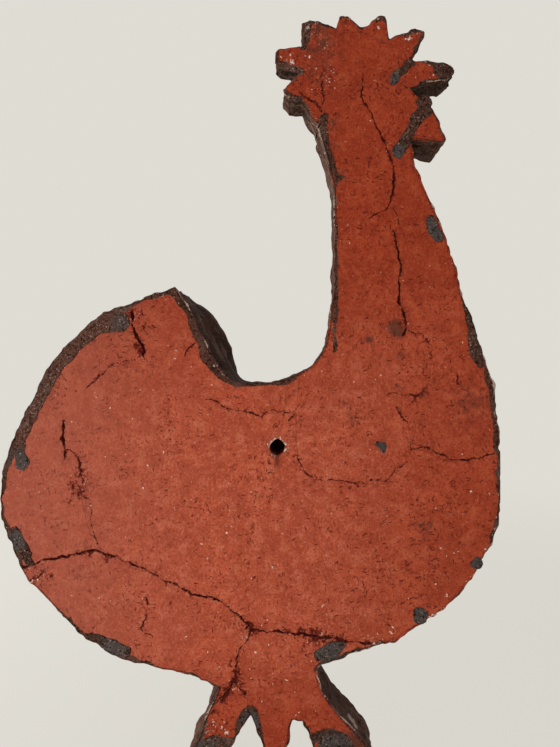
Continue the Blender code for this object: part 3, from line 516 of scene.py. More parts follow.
def tree_of(nodes):
    """A search tree over the CAD nodes' faces."""
    vertices, faces = [], []
    for node in nodes:
        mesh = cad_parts[node].data
        first = len(vertices)
        vertices += [v.co.copy() for v in mesh.vertices]
        faces += [[first + i for i in p.vertices] for p in mesh.polygons]
    return BVHTree.FromPolygons(vertices, faces)


def nearest_others(node, points):
    """The nearest point of the other clay and glaze nodes to each point, and how far it is."""
    others = [n for n in (*CLAY_NODES, *LUMP_NODES, "glaze_coat") if n != node]
    tree = tree_of(others)
    places, gaps = np.empty((len(points), 3)), np.empty(len(points))
    for i, point in enumerate(points):
        place, _, _, gap = tree.find_nearest(Vector(point))
        places[i], gaps[i] = place, gap
    return places, gaps


def outer_edge():
    """The rooster's outline at the back, as one set of strokes of no width."""
    pieces = []
    for node in (*LUMP_NODES, "glaze_coat"):
        shape = merged_copy(node)
        edges = [
            e for e in shape.edges
            if max(abs(v.co.y) for v in e.verts) < AT_BACK
            and sorted(f.normal.y < -0.5 for f in e.link_faces) == [False, True]
        ]
        middles = [(e.verts[0].co + e.verts[1].co) / 2.0 for e in edges]
        gaps = nearest_others(node, middles)[1]
        for edge, gap in zip(edges, gaps):
            if gap > SEAM_GAP:
                ends = [(v.co.x / MM, v.co.z / MM, 0.0) for v in edge.verts]
                pieces.append((0.0, ends))
        shape.free()
    return Strokes(pieces)


OUTER_EDGE = outer_edge()
CRACK_LINES = Strokes([(depth, points) for depth, *points in CRACKS.values()])
LAP_LINES = Strokes([(0.0, lap) for lap in LAPS])


def flat(points):
    """The (x, z) of points."""
    return points[:, [0, 2]]


def blobs(points, places):
    """The strongest of soft round blobs, each (x, z, radius) and perhaps a strength, at the points."""
    total = np.zeros(len(points))
    for x, z, radius, *strength in places:
        gap = gap_from(points, x, z) / (radius * MM)
        total = np.maximum(total, np.exp(-gap ** 2 * 1.2) * (strength[0] if strength else 1.0))
    return total


def crack_reach(points):
    """How far outside a crack each point lies, with ragged walls, and the crack's half width and depth."""
    coarse = np.stack([lattice_noise(points, 3.4 * MM, seed) for seed in (3, 4)], 1) * 0.7 * MM
    fine = np.stack([lattice_noise(points, 1.3 * MM, seed) for seed in (5, 6)], 1) * 0.4 * MM
    outside, widths, depths = CRACK_LINES.reach(flat(points) + coarse + fine)
    open_share = 0.58 + 0.65 * lattice_noise(points, 4.6 * MM, 7)
    return outside + widths * (1.0 - open_share), widths * open_share, depths


def swell(points):
    """The sideways moves of clay that spread past its cut edge."""
    move = np.zeros((len(points), 3))
    for x, z, radius, right, up in SWELLS:
        gap = gap_from(points, x, z) / (radius * MM)
        share = np.exp(-gap ** 2) * MM
        move[:, 0] += right * share
        move[:, 2] += up * share
    return move


def hand_sway(points, edge_gap):
    """The small sideways moves of a hand-cut, chipped edge, strongest at the outline and the hole."""
    hole_gap = np.maximum(gap_from(points) - HOLE_RADIUS, 0.0)
    near = np.maximum(np.exp(-edge_gap / (4.0 * MM)), 0.8 * np.exp(-hole_gap / (2.0 * MM)))
    move = swell(points)
    level = points * np.array([1.0, 0.0, 1.0])
    for axis, seed in ((0, 11), (2, 12)):
        # Nothing on a hand-built piece runs straight, so slabs, seams and walls all wander together
        move[:, axis] += bumps(level, 8.0, seed + 80, 0.8)
        move[:, axis] += bumps(level, 3.0, seed + 90, 0.25)
        move[:, axis] += (bumps(points, 9.0, seed, 0.5) + bumps(points, 3.2, seed + 5, 0.65)) * near
    return move


def edge_drop(edge_gap, rounding):
    """How far the back falls away towards the outline, as a rounded, chipped edge."""
    inside = np.clip(rounding - edge_gap, 0.0, rounding)
    return rounding - np.sqrt(np.maximum(rounding ** 2 - inside ** 2, 0.0))


def hand_waves(points, edge_gap, sizes):
    """The slow waves of the hand-smoothed back, and its rounded edge."""
    waves = rough_noise(points, sizes.wave_size, 21, 3) * sizes.wave_height
    return waves + edge_drop(edge_gap, sizes.edge_rounding)


def back_relief(points, edge_gap, sizes):
    """How far each point of the back lies behind the plane of the wall: waves, cracks, pits and the edge."""
    waves = hand_waves(points, edge_gap, sizes)
    waves += bumps(points, 7.0, 24, 0.16) + bumps(points, 1.9, 25, 0.06)
    outside, widths, depths = crack_reach(points)
    inside = np.clip(-outside / np.maximum(widths, 0.1 * MM), 0.0, 1.0)
    cracks = depths * inside ** 0.7
    lips = 0.12 * MM * np.exp(-np.clip(outside, 0.0, None) / (1.5 * MM))
    pits = np.zeros(len(points))
    for x, z, radius, depth in PITS:
        gap = gap_from(points, x, z)
        gap += lattice_noise(points, 1.8 * MM, 31) * 0.35 * radius * MM
        pits = np.maximum(pits, depth * MM * smooth_step(1.0 - gap / (radius * MM), 0.0, 0.8))
    hole_gap = gap_from(points) - HOLE_RADIUS
    chips = 0.9 * MM * np.exp(-np.clip(hole_gap, 0.0, None) / (0.9 * MM))
    chips *= 0.6 + 0.6 * lattice_noise(points, 1.6 * MM, 33)
    return waves + np.maximum(cracks, pits) + lips + chips


def lap_reach(points, edge_gap):
    """How far inside the glazed part of the back each point lies; below nothing it is bare clay."""
    ragged = rough_noise(points, 5.0 * MM, 41, 3)
    thin_rim = 0.5 * MM + 1.1 * MM * lattice_noise(points, 11.0 * MM, 42)
    lapped = -LAP_LINES.reach(flat(points))[0]
    return np.maximum(thin_rim - edge_gap, lapped) + ragged * 0.7 * MM


def cut_across(shape, faces, axis, step):
    """Cuts faces along evenly spaced planes across one axis."""
    normal = Vector((0.0, 0.0, 0.0))
    normal[axis] = 1.0
    reach = [v.co[axis] for f in faces for v in f.verts]
    done, left = [], list(faces)
    for index in range(math.floor(min(reach) / step) + 1, math.ceil(max(reach) / step)):
        geometry = dict.fromkeys(e for f in left for e in (f, *f.edges, *f.verts))
        cut = bmesh.ops.bisect_plane(
            shape, geom=list(geometry), dist=CUT_TOLERANCE, plane_co=normal * (index * step),
            plane_no=normal,
        )
        found = [g for g in cut["geom"] if isinstance(g, bmesh.types.BMFace)]
        left = [f for f in found if f.calc_center_median()[axis] > index * step]
        done += [f for f in found if f.calc_center_median()[axis] <= index * step]
    return done + left


def cut_fine(shape, wanted, step):
    """Cuts the wanted faces into cells about step across, in planes that neighbours share."""
    for axis in range(3):
        chosen = [
            f for f in shape.faces if wanted(f) and abs(f.normal[axis]) >= max(map(abs, f.normal)) - 1e-6
        ]
        for across in {0, 1, 2} - {axis}:
            if chosen:
                chosen = cut_across(shape, chosen, across, step)


def refine_cracks(shape):
    """Two finer levels of mesh along the cracks in the back, so that they have real walls."""
    for reach in CRACK_MESH_REACH:
        edges = [e for e in shape.edges if max(abs(v.co.y) for v in e.verts) < AT_BACK]
        middles = np.array([(e.verts[0].co + e.verts[1].co) / 2.0 for e in edges])
        outside = crack_reach(middles)[0]
        close = [e for e, gap in zip(edges, outside) if gap < reach]
        if close:
            bmesh.ops.subdivide_edges(shape, edges=close, cuts=1, use_grid_fill=True)


def arrays_of(shape):
    """The places and normals of a shape's vertices."""
    shape.normal_update()
    places = np.array([v.co for v in shape.verts])
    normals = np.array([v.normal for v in shape.verts])
    return places, normals


def keep_in_box(points):
    """The points held inside the CAD model's box."""
    return np.clip(points, BOX_LOW, BOX_HIGH)


def piece_from(shape, name, points, material, attributes, nodes=(), front=None):
    """Makes a shape a piece that rides on the body, with its named values and its front's own material."""
    mesh = bpy.data.meshes.new(name)
    shape.to_mesh(mesh)
    shape.free()
    mesh.vertices.foreach_set("co", keep_in_box(points).astype(np.float32).ravel())
    for title, values in attributes.items():
        layer = mesh.attributes.new(title, "FLOAT", "POINT")
        layer.data.foreach_set("value", values.astype(np.float32))
    mesh.materials.append(material)
    mesh.update()
    if front:
        mesh.materials.append(front)
        normals = np.empty(len(mesh.polygons) * 3, np.float32)
        mesh.polygons.foreach_get("normal", normals)
        mesh.polygons.foreach_set("material_index", (normals[1::3] > 0.3).astype(np.int32))
    mesh.shade_smooth()
    mesh.set_sharp_from_angle(angle=SHARP_FROM)
    piece = bpy.data.objects.new(name, mesh)
    bpy.context.scene.collection.objects.link(piece)
    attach(piece, BODY)
    if nodes:
        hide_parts(*nodes)
    return piece


def closed_gaps(node, points, normals):
    """The moves that bring a luted side just past half way to its neighbour, so that no seam shows."""
    move = np.zeros_like(points)
    side = np.flatnonzero(np.hypot(normals[:, 0], normals[:, 2]) > 0.4)
    places, gaps = nearest_others(node, points[side])
    near = gaps < LUTED_GAP
    move[side[near]] = (places[near] - points[side[near]]) * 0.6
    move[:, 1] = 0.0
    return move


def surface_values(points, edge_gap):
    """The named values that the materials of the clay and of its glaze read."""
    hole = gap_from(points)
    streak = np.exp(-(points[:, 0] / (2.2 * MM)) ** 2) * smooth_step(points[:, 2], -19.0 * MM, -7.0 * MM)
    streak *= smooth_step(-points[:, 2], 2.0 * MM, 5.0 * MM)
    # Each pit is painted darker the deeper it is: painted shade of the back's hollows
    pits = np.zeros(len(points))
    for x, z, radius, depth in PITS:
        gap = gap_from(points, x, z) / (radius * MM)
        pits = np.maximum(pits, np.exp(-gap ** 2) * (0.45 + 0.3 * depth))
    spikes = lattice_noise(points, 1.7 * MM, 35) + 0.35 * points[:, 2] / (5.0 * MM)
    # The walls have no beads, and are less worn than the back's edge
    near_back = np.exp(-np.clip(points[:, 1], 0.0, None) / (2.0 * MM))
    worn = np.maximum(blobs(points, WORN), 0.6 * np.exp(-edge_gap / (2.2 * MM)))
    # The chips' places are as seen from the camera, so points of the walls are drawn in towards it
    shrink = CAMERA_DISTANCE * MM / (CAMERA_DISTANCE * MM + np.clip(points[:, 1], 0.0, None))
    centre = np.array([CAMERA_PLACE[0], 0.0, CAMERA_PLACE[1]]) * MM
    chips = 1.25 * blobs(centre + (points - centre) * shrink[:, None], CHIPS)
    chipped = smooth_step(lattice_noise(points, 14.0 * MM, 37), -0.3, 0.4) * np.exp(-edge_gap / (2.0 * MM))
    chips = np.maximum(chips, 0.9 * chipped * near_back)
    round_hole = np.exp(-np.clip(hole - 5.4 * MM, 0.0, None) / (2.4 * MM)) * smooth_step(spikes, -1.0, 0.1)
    return {
        "crack_gap": np.clip(crack_reach(points)[0] / MM, -1.0, 4.0),
        "smudge": blobs(points, SMUDGES),
        "worn": worn * (0.35 + 0.65 * near_back),
        "rust": np.maximum(streak, 0.5 * np.exp(-np.abs(hole - 4.0 * MM) / (1.5 * MM))),
        "chip": np.maximum(round_hole, chips),
        "pit_shade": pits,
        "chaff": blobs(points, CHAFF),
        "bead": smooth_step(blobs(points, BEADS), 0.1, 0.8) * near_back,
    }


def clay_piece(node, sizes, material):
    """A slab with its hand-smoothed, cracked back."""
    shape = merged_copy(node)
    cut_fine(shape, lambda f: f.normal.y < FACES_WALL and max(v.co.y for v in f.verts) < AT_BACK, sizes.step)
    refine_cracks(shape)
    # A ring round the walls, close to the back, so that their glaze begins there
    bmesh.ops.bisect_plane(
        shape, geom=[*shape.verts, *shape.edges, *shape.faces], dist=CUT_TOLERANCE,
        plane_co=(0.0, GLAZE_BEGINS, 0.0), plane_no=(0.0, 1.0, 0.0),
    )
    points, normals = arrays_of(shape)
    points += closed_gaps(node, points, normals)
    edge_gap = OUTER_EDGE.reach(flat(points))[0]
    at_back = points[:, 1] < AT_BACK
    moved = points + hand_sway(points, edge_gap)
    moved[at_back, 1] += back_relief(points[at_back], edge_gap[at_back], sizes)
    lap = np.where(at_back, lap_reach(points, edge_gap), 2.0 * MM)
    in_hole = gap_from(points) < HOLE_REACH
    lap = np.where(in_hole, -3.0 * MM, lap)
    moved[at_back, 1] -= GLAZE_STEP * smooth_step(lap[at_back], 0.0, 0.5 * MM)
    values = surface_values(points, edge_gap)
    values["glaze_reach"] = np.clip(lap / MM, -4.0, 4.0)
    values["thin"] = np.clip(0.65 + 0.45 * lattice_noise(points, 7.0 * MM, 63), 0.0, 1.0)
    # The hole's wall is painted darker the deeper it goes: painted shade inside the hole
    values["hole_shade"] = np.where(in_hole, np.clip(points[:, 1] / (24.0 * MM), 0.0, 1.0), 0.0)
    return piece_from(shape, "fired_" + node, moved, material, values, (node,))


def lump_piece(node, clay, glaze, material, front):
    """A pinched lump: red clay at the back, glazed walls and front."""
    shape = merged_copy(node)
    cut_fine(shape, lambda f: True, glaze.lump_step)
    points, normals = arrays_of(shape)
    points += closed_gaps(node, points, normals)
    edge_gap = OUTER_EDGE.reach(flat(points))[0]
    at_back = points[:, 1] < AT_BACK
    drop = back_relief(points, edge_gap, clay)
    lap = lap_reach(points, edge_gap)
    wall = np.clip(points[:, 1] / GLAZE_BEGINS - 0.6, -0.6, 4.0)
    values = surface_values(points, edge_gap)
    values["glaze_reach"] = np.where(at_back, lap / MM, np.clip(lap / MM, -2.0, 4.0) + wall * 1.6)
    values["thin"] = (0.6 + 0.4 * lattice_noise(points, 7.0 * MM, 63)) * np.exp(-points[:, 1] / (2.5 * MM))
    moved = points + hand_sway(points, edge_gap)
    fade = np.clip(1.0 - points[:, 1] / BLEND_DEPTH, 0.0, 1.0) ** 2
    moved[:, 1] += drop * fade
    moved += normals * wall_lumps(points, glaze)[:, None] * np.clip(points[:, 1:2] / BLEND_DEPTH, 0.0, 1.0)
    return piece_from(shape, "fired_" + node, moved, material, values, (node,), front)


def wall_lumps(points, sizes):
    """How far the hand-built, glazed walls stand out or in."""
    lumps = lattice_noise(points, sizes.lump_size, 51) * sizes.lump_height
    lumps += bumps(points * np.array([1.0, 0.5, 1.0]), 3.0, 52, 0.35)
    return lumps - sizes.lump_height * 0.9


def add_node(tree, kind, inputs=(), output=0, **settings):
    """Adds a shader node and returns one output; inputs are numbers, colours or other nodes' outputs."""
    node = tree.nodes.new("ShaderNode" + kind)
    for key, value in settings.items():
        setattr(node, key, value)
    for key, source in inputs.items() if isinstance(inputs, dict) else enumerate(inputs):
        socket = node.inputs[key]
        if isinstance(source, bpy.types.NodeSocket):
            tree.links.new(source, socket)
        elif socket.type == "RGBA":
            socket.default_value = (*source, 1.0)
        else:
            socket.default_value = source
    return node.outputs[output] if len(node.outputs) else node


# Sockets of the Mix node when it mixes colours
MIX_A, MIX_B, MIX_OUT = 6, 7, 2
TURN_TO_COLOUR = {"output": MIX_OUT, "data_type": "RGBA"}
SMOOTH = {"interpolation_type": "SMOOTHSTEP"}
# A Math node adds unless one of these is given
TIMES, MINUS, LARGER = ({"operation": name} for name in ("MULTIPLY", "SUBTRACT", "MAXIMUM"))


def grain_specks(add, place, cell, radius, seed):
    """Round specks, one in each cell of that size, and a random number from 0 to 1 for each."""
    shifted = add("VectorMath", (place, (seed * 0.37, seed * 0.11, seed * 0.53)))
    inputs = {"Vector": shifted, "Scale": 1.0 / cell}
    gap = add("TexVoronoi", inputs, "Distance")
    pick = add("SeparateColor", (add("TexVoronoi", inputs, "Color"),), 0)
    dot = add("MapRange", (gap, radius / cell, radius / cell * 0.6, 0.0, 1.0), **SMOOTH)
    return dot, pick


def stained(add, base, tone, pattern, weight):
    """The base under a tone, whose share is a pattern times a weight."""
    share = add("Math", (pattern, weight), **TIMES)
    return add("Mix", {0: share, MIX_A: base, MIX_B: tone}, **TURN_TO_COLOUR)


def speckled(add, base, tone, dot, pick):
    """The base with specks of a tone, shown where their random number is high."""
    shown = add("MapRange", (pick, 0.84, 0.98, 0.0, 1.0))
    return stained(add, base, tone, shown, dot)


def covered(add, base, tone, *reach):
    """The base under a tone; reach is a pattern, its low and high value, and the tone's share at each."""
    share = add("MapRange", reach, **SMOOTH)
    return add("Mix", {0: share, MIX_A: base, MIX_B: tone}, **TURN_TO_COLOUR)


def clay_shader(add, place, c):
    """Red grogged earthenware, smoothed by hand and fired bare: dry, almost matt, with burnt chaff marks."""
    patches, crowd, smears, mottle, pitted, fine, grains = (
        add("TexNoise", {"Vector": place, "Scale": 1.0 / (size * MM), "Detail": detail, "Roughness": rough})
        for size, detail, rough in (
            (24.0, 3.0, 0.5), (26.0, 2.0, 0.5), (9.0, 3.0, 0.5), (4.2, 5.0, 0.7), (2.2, 3.0, 0.65),
            (1.5, 4.0, 0.7), (1.2, 2.0, 0.6),
        )
    )
    chaff, worn, chips, smudge, rust, pits, gap, hole_shade = (
        add("Attribute", {}, "Fac", attribute_name=name)
        for name in ("chaff", "worn", "chip", "smudge", "rust", "pit_shade", "crack_gap", "hole_shade")
    )
    base = covered(add, c.body, c.deep, patches, 0.4, 0.66, 0.45, 0.0)
    for noise, low, high, most, tone in (
        (smears, 0.5, 0.66, 0.5, c.pale), (smears, 0.48, 0.34, 0.5, c.deep),
        (mottle, 0.53, 0.7, 0.75, c.pale), (mottle, 0.48, 0.34, 0.8, c.deep),
        (fine, 0.53, 0.66, 0.7, c.pale), (fine, 0.48, 0.36, 0.85, c.deep),
    ):
        base = covered(add, base, tone, noise, low, high, 0.0, most)
    # Ragged pits of 0.5 to 2 mm, crowded in some places
    pitted = add("Math", (pitted, add("MapRange", (crowd, 0.3, 0.7, 0.05, -0.06))))
    marks = add("MapRange", (pitted, 0.355, 0.3, 0.0, 1.0), **SMOOTH)
    # Chaff burnt out of the clay: bent marks up to 3 mm long and 0.5 mm wide, lying every way
    bend = add("TexNoise", {"Vector": place, "Scale": 1.0 / (3.0 * MM), "Detail": 3.0}, "Color")
    bend = add("VectorMath", (bend, (0.5, 0.5, 0.5)), **MINUS)
    bend = add("VectorMath", {0: bend, "Scale": 2.6 * MM}, operation="SCALE")
    bent = add("VectorMath", (place, bend))
    likely = add("Math", (crowd, add("Math", (chaff, 0.45), **TIMES)))
    for turn, seed in ((0.1, 1), (-0.5, 2), (1.35, 3)):
        turned = add(
            "Mapping", {"Vector": bent, "Rotation": (0.0, turn, 0.0), "Scale": (1.0, 0.5, 0.2)},
            vector_type="TEXTURE",
        )
        dash, pick = grain_specks(add, turned, 8.2 * MM, 1.9 * MM, seed)
        wanted = add("MapRange", (add("Math", (pick, likely)), 1.24, 1.42, 0.0, 1.0), **SMOOTH)
        dash = add("Math", (dash, wanted), **TIMES)
        marks = add("Math", (marks, dash), **LARGER)
    base = stained(add, base, c.fleck, marks, 0.88)
    # Painted shade: the clay is multiplied darker and redder towards the head, the feet and the beak's side,
    # where the light falls off and less sheen lies on it
    across, up = (add("SeparateXYZ", (place,), axis) for axis in (0, 2))
    falloff_shade = add("MapRange", (up, -10.0 * MM, 135.0 * MM, 0.0, 1.0), **SMOOTH)
    for side, low, high, most in ((across, 18.0, 125.0, 0.75), (up, -110.0, -190.0, 0.9)):
        dimmer = add("MapRange", (side, low * MM, high * MM, 0.0, most), **SMOOTH)
        falloff_shade = add("Math", (falloff_shade, dimmer), **LARGER)
    base = add("Mix", {0: falloff_shade, MIX_A: base, MIX_B: c.falloff_shade}, blend_type="MULTIPLY", **TURN_TO_COLOUR)
    # Painted sheen: the tail's side is mixed towards a paler, greyer red, where the window's sheen lies on
    # it
    base = covered(add, base, c.sheen, across, -30.0 * MM, -150.0 * MM, 0.0, 0.45)
    rough = add("MapRange", (pitted, 0.52, 0.4, 0.0, 0.75), **SMOOTH)
    base = stained(add, base, c.fleck, rough, worn)
    # Grog grains are 0.4 to 1 mm across, and show most where the surface is worn or chipped
    for cell, radius, seed in ((9.0, 0.75, 5), (3.4, 0.45, 6)):
        base = speckled(add, base, c.grog, *grain_specks(add, bent, cell * MM, radius * MM, seed))
    for named, weight, low, high in ((worn, 0.12, 0.74, 0.78), (chips, 0.5, 0.9, 0.97)):
        likely = add("Math", (grains, add("Math", (named, weight), **TIMES)))
        base = covered(add, base, c.grog, likely, low, high, 0.0, 0.9)
    blotch = add("MapRange", (mottle, 0.35, 0.65, 0.3, -0.3))
    base = covered(add, base, c.smudge, add("Math", (smudge, blotch)), 0.1, 0.85, 0.0, 0.9)
    base = add("Mix", {0: rust, MIX_A: base, MIX_B: c.rust}, **TURN_TO_COLOUR)
    # Pits and cracks have crumbled walls: the noise breaks their edges
    crumbs = add("MapRange", (fine, 0.3, 0.7, -0.35, 0.35))
    crumbs = add("Math", (crumbs, add("MapRange", (pitted, 0.3, 0.7, -0.5, 0.5))))
    pits = add("Math", (pits, crumbs), **MINUS)
    # The pits' dark centres, in fleck and crack colour, are painted shade of these hollows
    base = covered(add, base, c.fleck, pits, 0.35, 0.7, 0.0, 0.8)
    base = covered(add, base, c.crack, pits, 0.75, 0.95, 0.0, 0.9)
    gap = add("Math", (gap, crumbs))
    # Hair cracks branch off the wide ones, and craze the clay faintly here and there
    web = {"Vector": bent, "Scale": 1.0 / (8.0 * MM)}
    web = add("TexVoronoi", web, "Distance", feature="DISTANCE_TO_EDGE")
    web = add("MapRange", (web, 0.035, 0.0, 0.0, 1.0), **SMOOTH)
    beside = add("MapRange", (gap, 3.6, 0.2, 0.0, 0.85), **SMOOTH)
    crazed = add("MapRange", (smears, 0.56, 0.7, 0.0, 0.4), **SMOOTH)
    beside = add("Math", (beside, crazed), **LARGER)
    base = stained(add, base, c.fleck, web, beside)
    # Cracks are painted darker towards their middle and dark red at their bottom: partly dirt, partly
    # painted shade of the carved cracks
    base = covered(add, base, c.fleck, gap, 0.4, -0.05, 0.0, 0.65)
    base = covered(add, base, c.crack, gap, 0.05, -0.2, 0.0, 0.95)
    # Down the hole the wall is painted towards the crack colour with depth: painted shade
    base = add("Mix", {0: hole_shade, MIX_A: base, MIX_B: c.crack}, **TURN_TO_COLOUR)
    heights = add("Math", (add("Math", (fine, 0.9), **TIMES), marks), **MINUS)
    lowered = add("MapRange", (gap, 0.3, -0.3, 0.0, 1.4), **SMOOTH)
    heights = add("Math", (heights, lowered), **MINUS)
    bump = add("Bump", {"Strength": 1.0, "Distance": 0.32 * MM, "Height": heights})
    dryness = add("MapRange", (mottle, 0.3, 0.7, 0.88, 0.74), **SMOOTH)
    return add(
        "BsdfPrincipled",
        {"Base Color": base, "Roughness": dryness, "IOR": 1.5, "Specular IOR Level": 0.22, "Normal": bump},
    )


def glaze_shader(add, place, g, least_rough, most_rough, gleam, layered):
    """Dark iron glaze, brushed thick and fired: semi-gloss with pinholes, redder where it is thin."""
    # The wire that cut the slabs dragged every grain, so the pattern is drawn out through the walls
    place = add("Mapping", {"Vector": place, "Scale": (1.0, 0.45, 1.0)})
    # The slab was rolled in layers of about 6 mm, which show as paler streaks along its walls
    drawn_out = add("Mapping", {"Vector": place, "Scale": (0.22, 2.2, 0.22)})
    cloud, layers, mottle, grit_and_glint, heights = (
        add("TexNoise", {"Vector": where, "Scale": 1.0 / (size * MM), "Detail": detail, "Roughness": rough})
        for where, size, detail, rough in (
            (place, 16.0, 5.0, 0.7), (drawn_out, 6.0, 4.0, 0.65), (place, 2.0, 4.0, 0.7),
            (place, 1.1, 2.0, 0.6), (place, 1.4, 3.0, 0.6),
        )
    )
    thin, bead, worn, chips = (
        add("Attribute", {}, "Fac", attribute_name=name) for name in ("thin", "bead", "worn", "chip")
    )
    base = covered(add, g.thick, g.brown, cloud, 0.35, 0.75, 0.0, 0.8)
    base = covered(add, base, g.brown, mottle, 0.51, 0.62, 0.0, 0.9)
    base = covered(add, base, g.grit_and_glint, layers, 0.5, 0.64, 0.0, 0.45 * layered)
    base = covered(add, base, g.pinhole, layers, 0.46, 0.36, 0.0, 0.6 * layered)
    share = add("MapRange", (mottle, 0.36, 0.6, 0.35, 1.0), **SMOOTH)
    base = stained(add, base, g.thin, thin, share)
    ragged = add("MapRange", (mottle, 0.35, 0.65, -0.6, 0.6))
    base = covered(add, base, g.bead, add("Math", (bead, ragged)), 0.15, 0.95, 0.0, 0.95)
    # Pinholes and craters are 0.5 to 1.5 mm across, where gas came out of the clay
    pin, pick = grain_specks(add, place, 2.6 * MM, 0.45 * MM, 7)
    chosen = add("Math", (pick, 0.45), operation="GREATER_THAN")
    pin = add("Math", (pin, chosen), **TIMES)
    pin = add("Math", (pin, add("MapRange", (mottle, 0.43, 0.36, 0.0, 1.0), **SMOOTH)), **LARGER)
    # The pinholes' near black is painted shade of the small craters, which only the bump hollows
    base = stained(add, base, g.pinhole, pin, 0.8)
    # The runs are dry and gritty: ragged light specks of 0.5 to 1 mm, partly grit and partly painted glints
    # of the glaze's glossy bumps
    grit_and_glint = add("MapRange", (grit_and_glint, 0.54, 0.66, 0.0, 1.1), **SMOOTH)
    base = stained(add, base, g.grit_and_glint, grit_and_glint, worn)
    dot, pick = grain_specks(add, place, 3.0 * MM, 0.45 * MM, 8)
    likely = add("Math", (pick, add("Math", (worn, 0.5), **TIMES)))
    base = speckled(add, base, g.grog, dot, likely)
    chips = add("Math", (mottle, add("Math", (chips, 0.55), **TIMES)))
    base = covered(add, base, g.grog, chips, 0.86, 1.0, 0.0, 1.0)
    heights = add("Math", (add("Math", (heights, 1.5), **TIMES), pin), **MINUS)
    bump = add("Bump", {"Strength": 1.0, "Distance": 0.55 * MM, "Height": heights})
    gloss = add("MapRange", (mottle, 0.35, 0.65, least_rough, most_rough), **SMOOTH)
    return add(
        "BsdfPrincipled",
        {"Base Color": base, "Roughness": gloss, "IOR": 1.5, "Specular IOR Level": gleam, "Normal": bump},
    )


def new_tree(name):
    """A new material with an empty node tree, and its add function."""
    made = bpy.data.materials.new(name)
    made.use_nodes = True
    made.node_tree.nodes.clear()
    return made, partial(add_node, made.node_tree)


def red_grogged_earthenware(name, clay, glaze):
    """Bare fired clay, with dark glaze wherever glaze_reach, in millimetres, is above nothing."""
    made, add = new_tree(name)
    place = add("TexCoord", output="Object")
    ragged = add("TexNoise", {"Vector": place, "Scale": 1.0 / (1.4 * MM), "Detail": 4.0})
    ragged = add("MapRange", (ragged, 0.0, 1.0, -1.1, 1.1))
    reach = add("Attribute", {}, "Fac", attribute_name="glaze_reach")
    reach = add("Math", (reach, ragged))
    share = add("MapRange", (reach, -0.15, 0.15, 0.0, 1.0), **SMOOTH)
    bare, glazed = clay_shader(add, place, clay), glaze_shader(add, place, glaze, 0.5, 0.7, 0.02, 1.0)
    add("OutputMaterial", (add("MixShader", (share, bare, glazed)),))
    return made


def dark_iron_glaze(name, glaze, least_rough, most_rough, gleam, layered):
    """The iron glaze alone: glossier on the front, greyer and drier where it ran thin onto the back."""
    made, add = new_tree(name)
    place = add("TexCoord", output="Object")
    add("OutputMaterial", (glaze_shader(add, place, glaze, least_rough, most_rough, gleam, layered),))
    return made


def finishes(scene):
    """The three finishes, made at their first use: glazed clay, runs of glaze and glazed relief."""
    clay, glaze = scene.rooster_clay, scene.rooster_glaze
    if "red_grogged_earthenware" not in bpy.data.materials:
        red_grogged_earthenware("red_grogged_earthenware", clay, glaze)
        dark_iron_glaze("matt_iron_glaze_runs", glaze, 0.48, 0.62, 0.05, 0.3)
        dark_iron_glaze("semi_gloss_iron_glaze", glaze, 0.28, 0.5, 0.4, 0.15)
    names = ("red_grogged_earthenware", "matt_iron_glaze_runs", "semi_gloss_iron_glaze")
    return [bpy.data.materials[name] for name in names]


class ROOSTER_OT_clay_slabs(Operator):
    """Gives the slabs of clay their hand-smoothed, cracked backs"""
    bl_idname = "rooster.clay_slabs"
    bl_label = "Clay slabs"

    def execute(self, context):
        for node in CLAY_NODES:
            clay_piece(node, context.scene.rooster_clay, finishes(context.scene)[0])
        return {"FINISHED"}


class ROOSTER_OT_pinched_lumps(Operator):
    """Gives the comb, the beak and the rear lobes their pinched, half-glazed surface"""
    bl_idname = "rooster.pinched_lumps"
    bl_label = "Comb, beak and lobes"

    def execute(self, context):
        scene = context.scene
        for node in LUMP_NODES:
            lump_piece(node, scene.rooster_clay, scene.rooster_glaze, finishes(scene)[0], finishes(scene)[2])
        return {"FINISHED"}


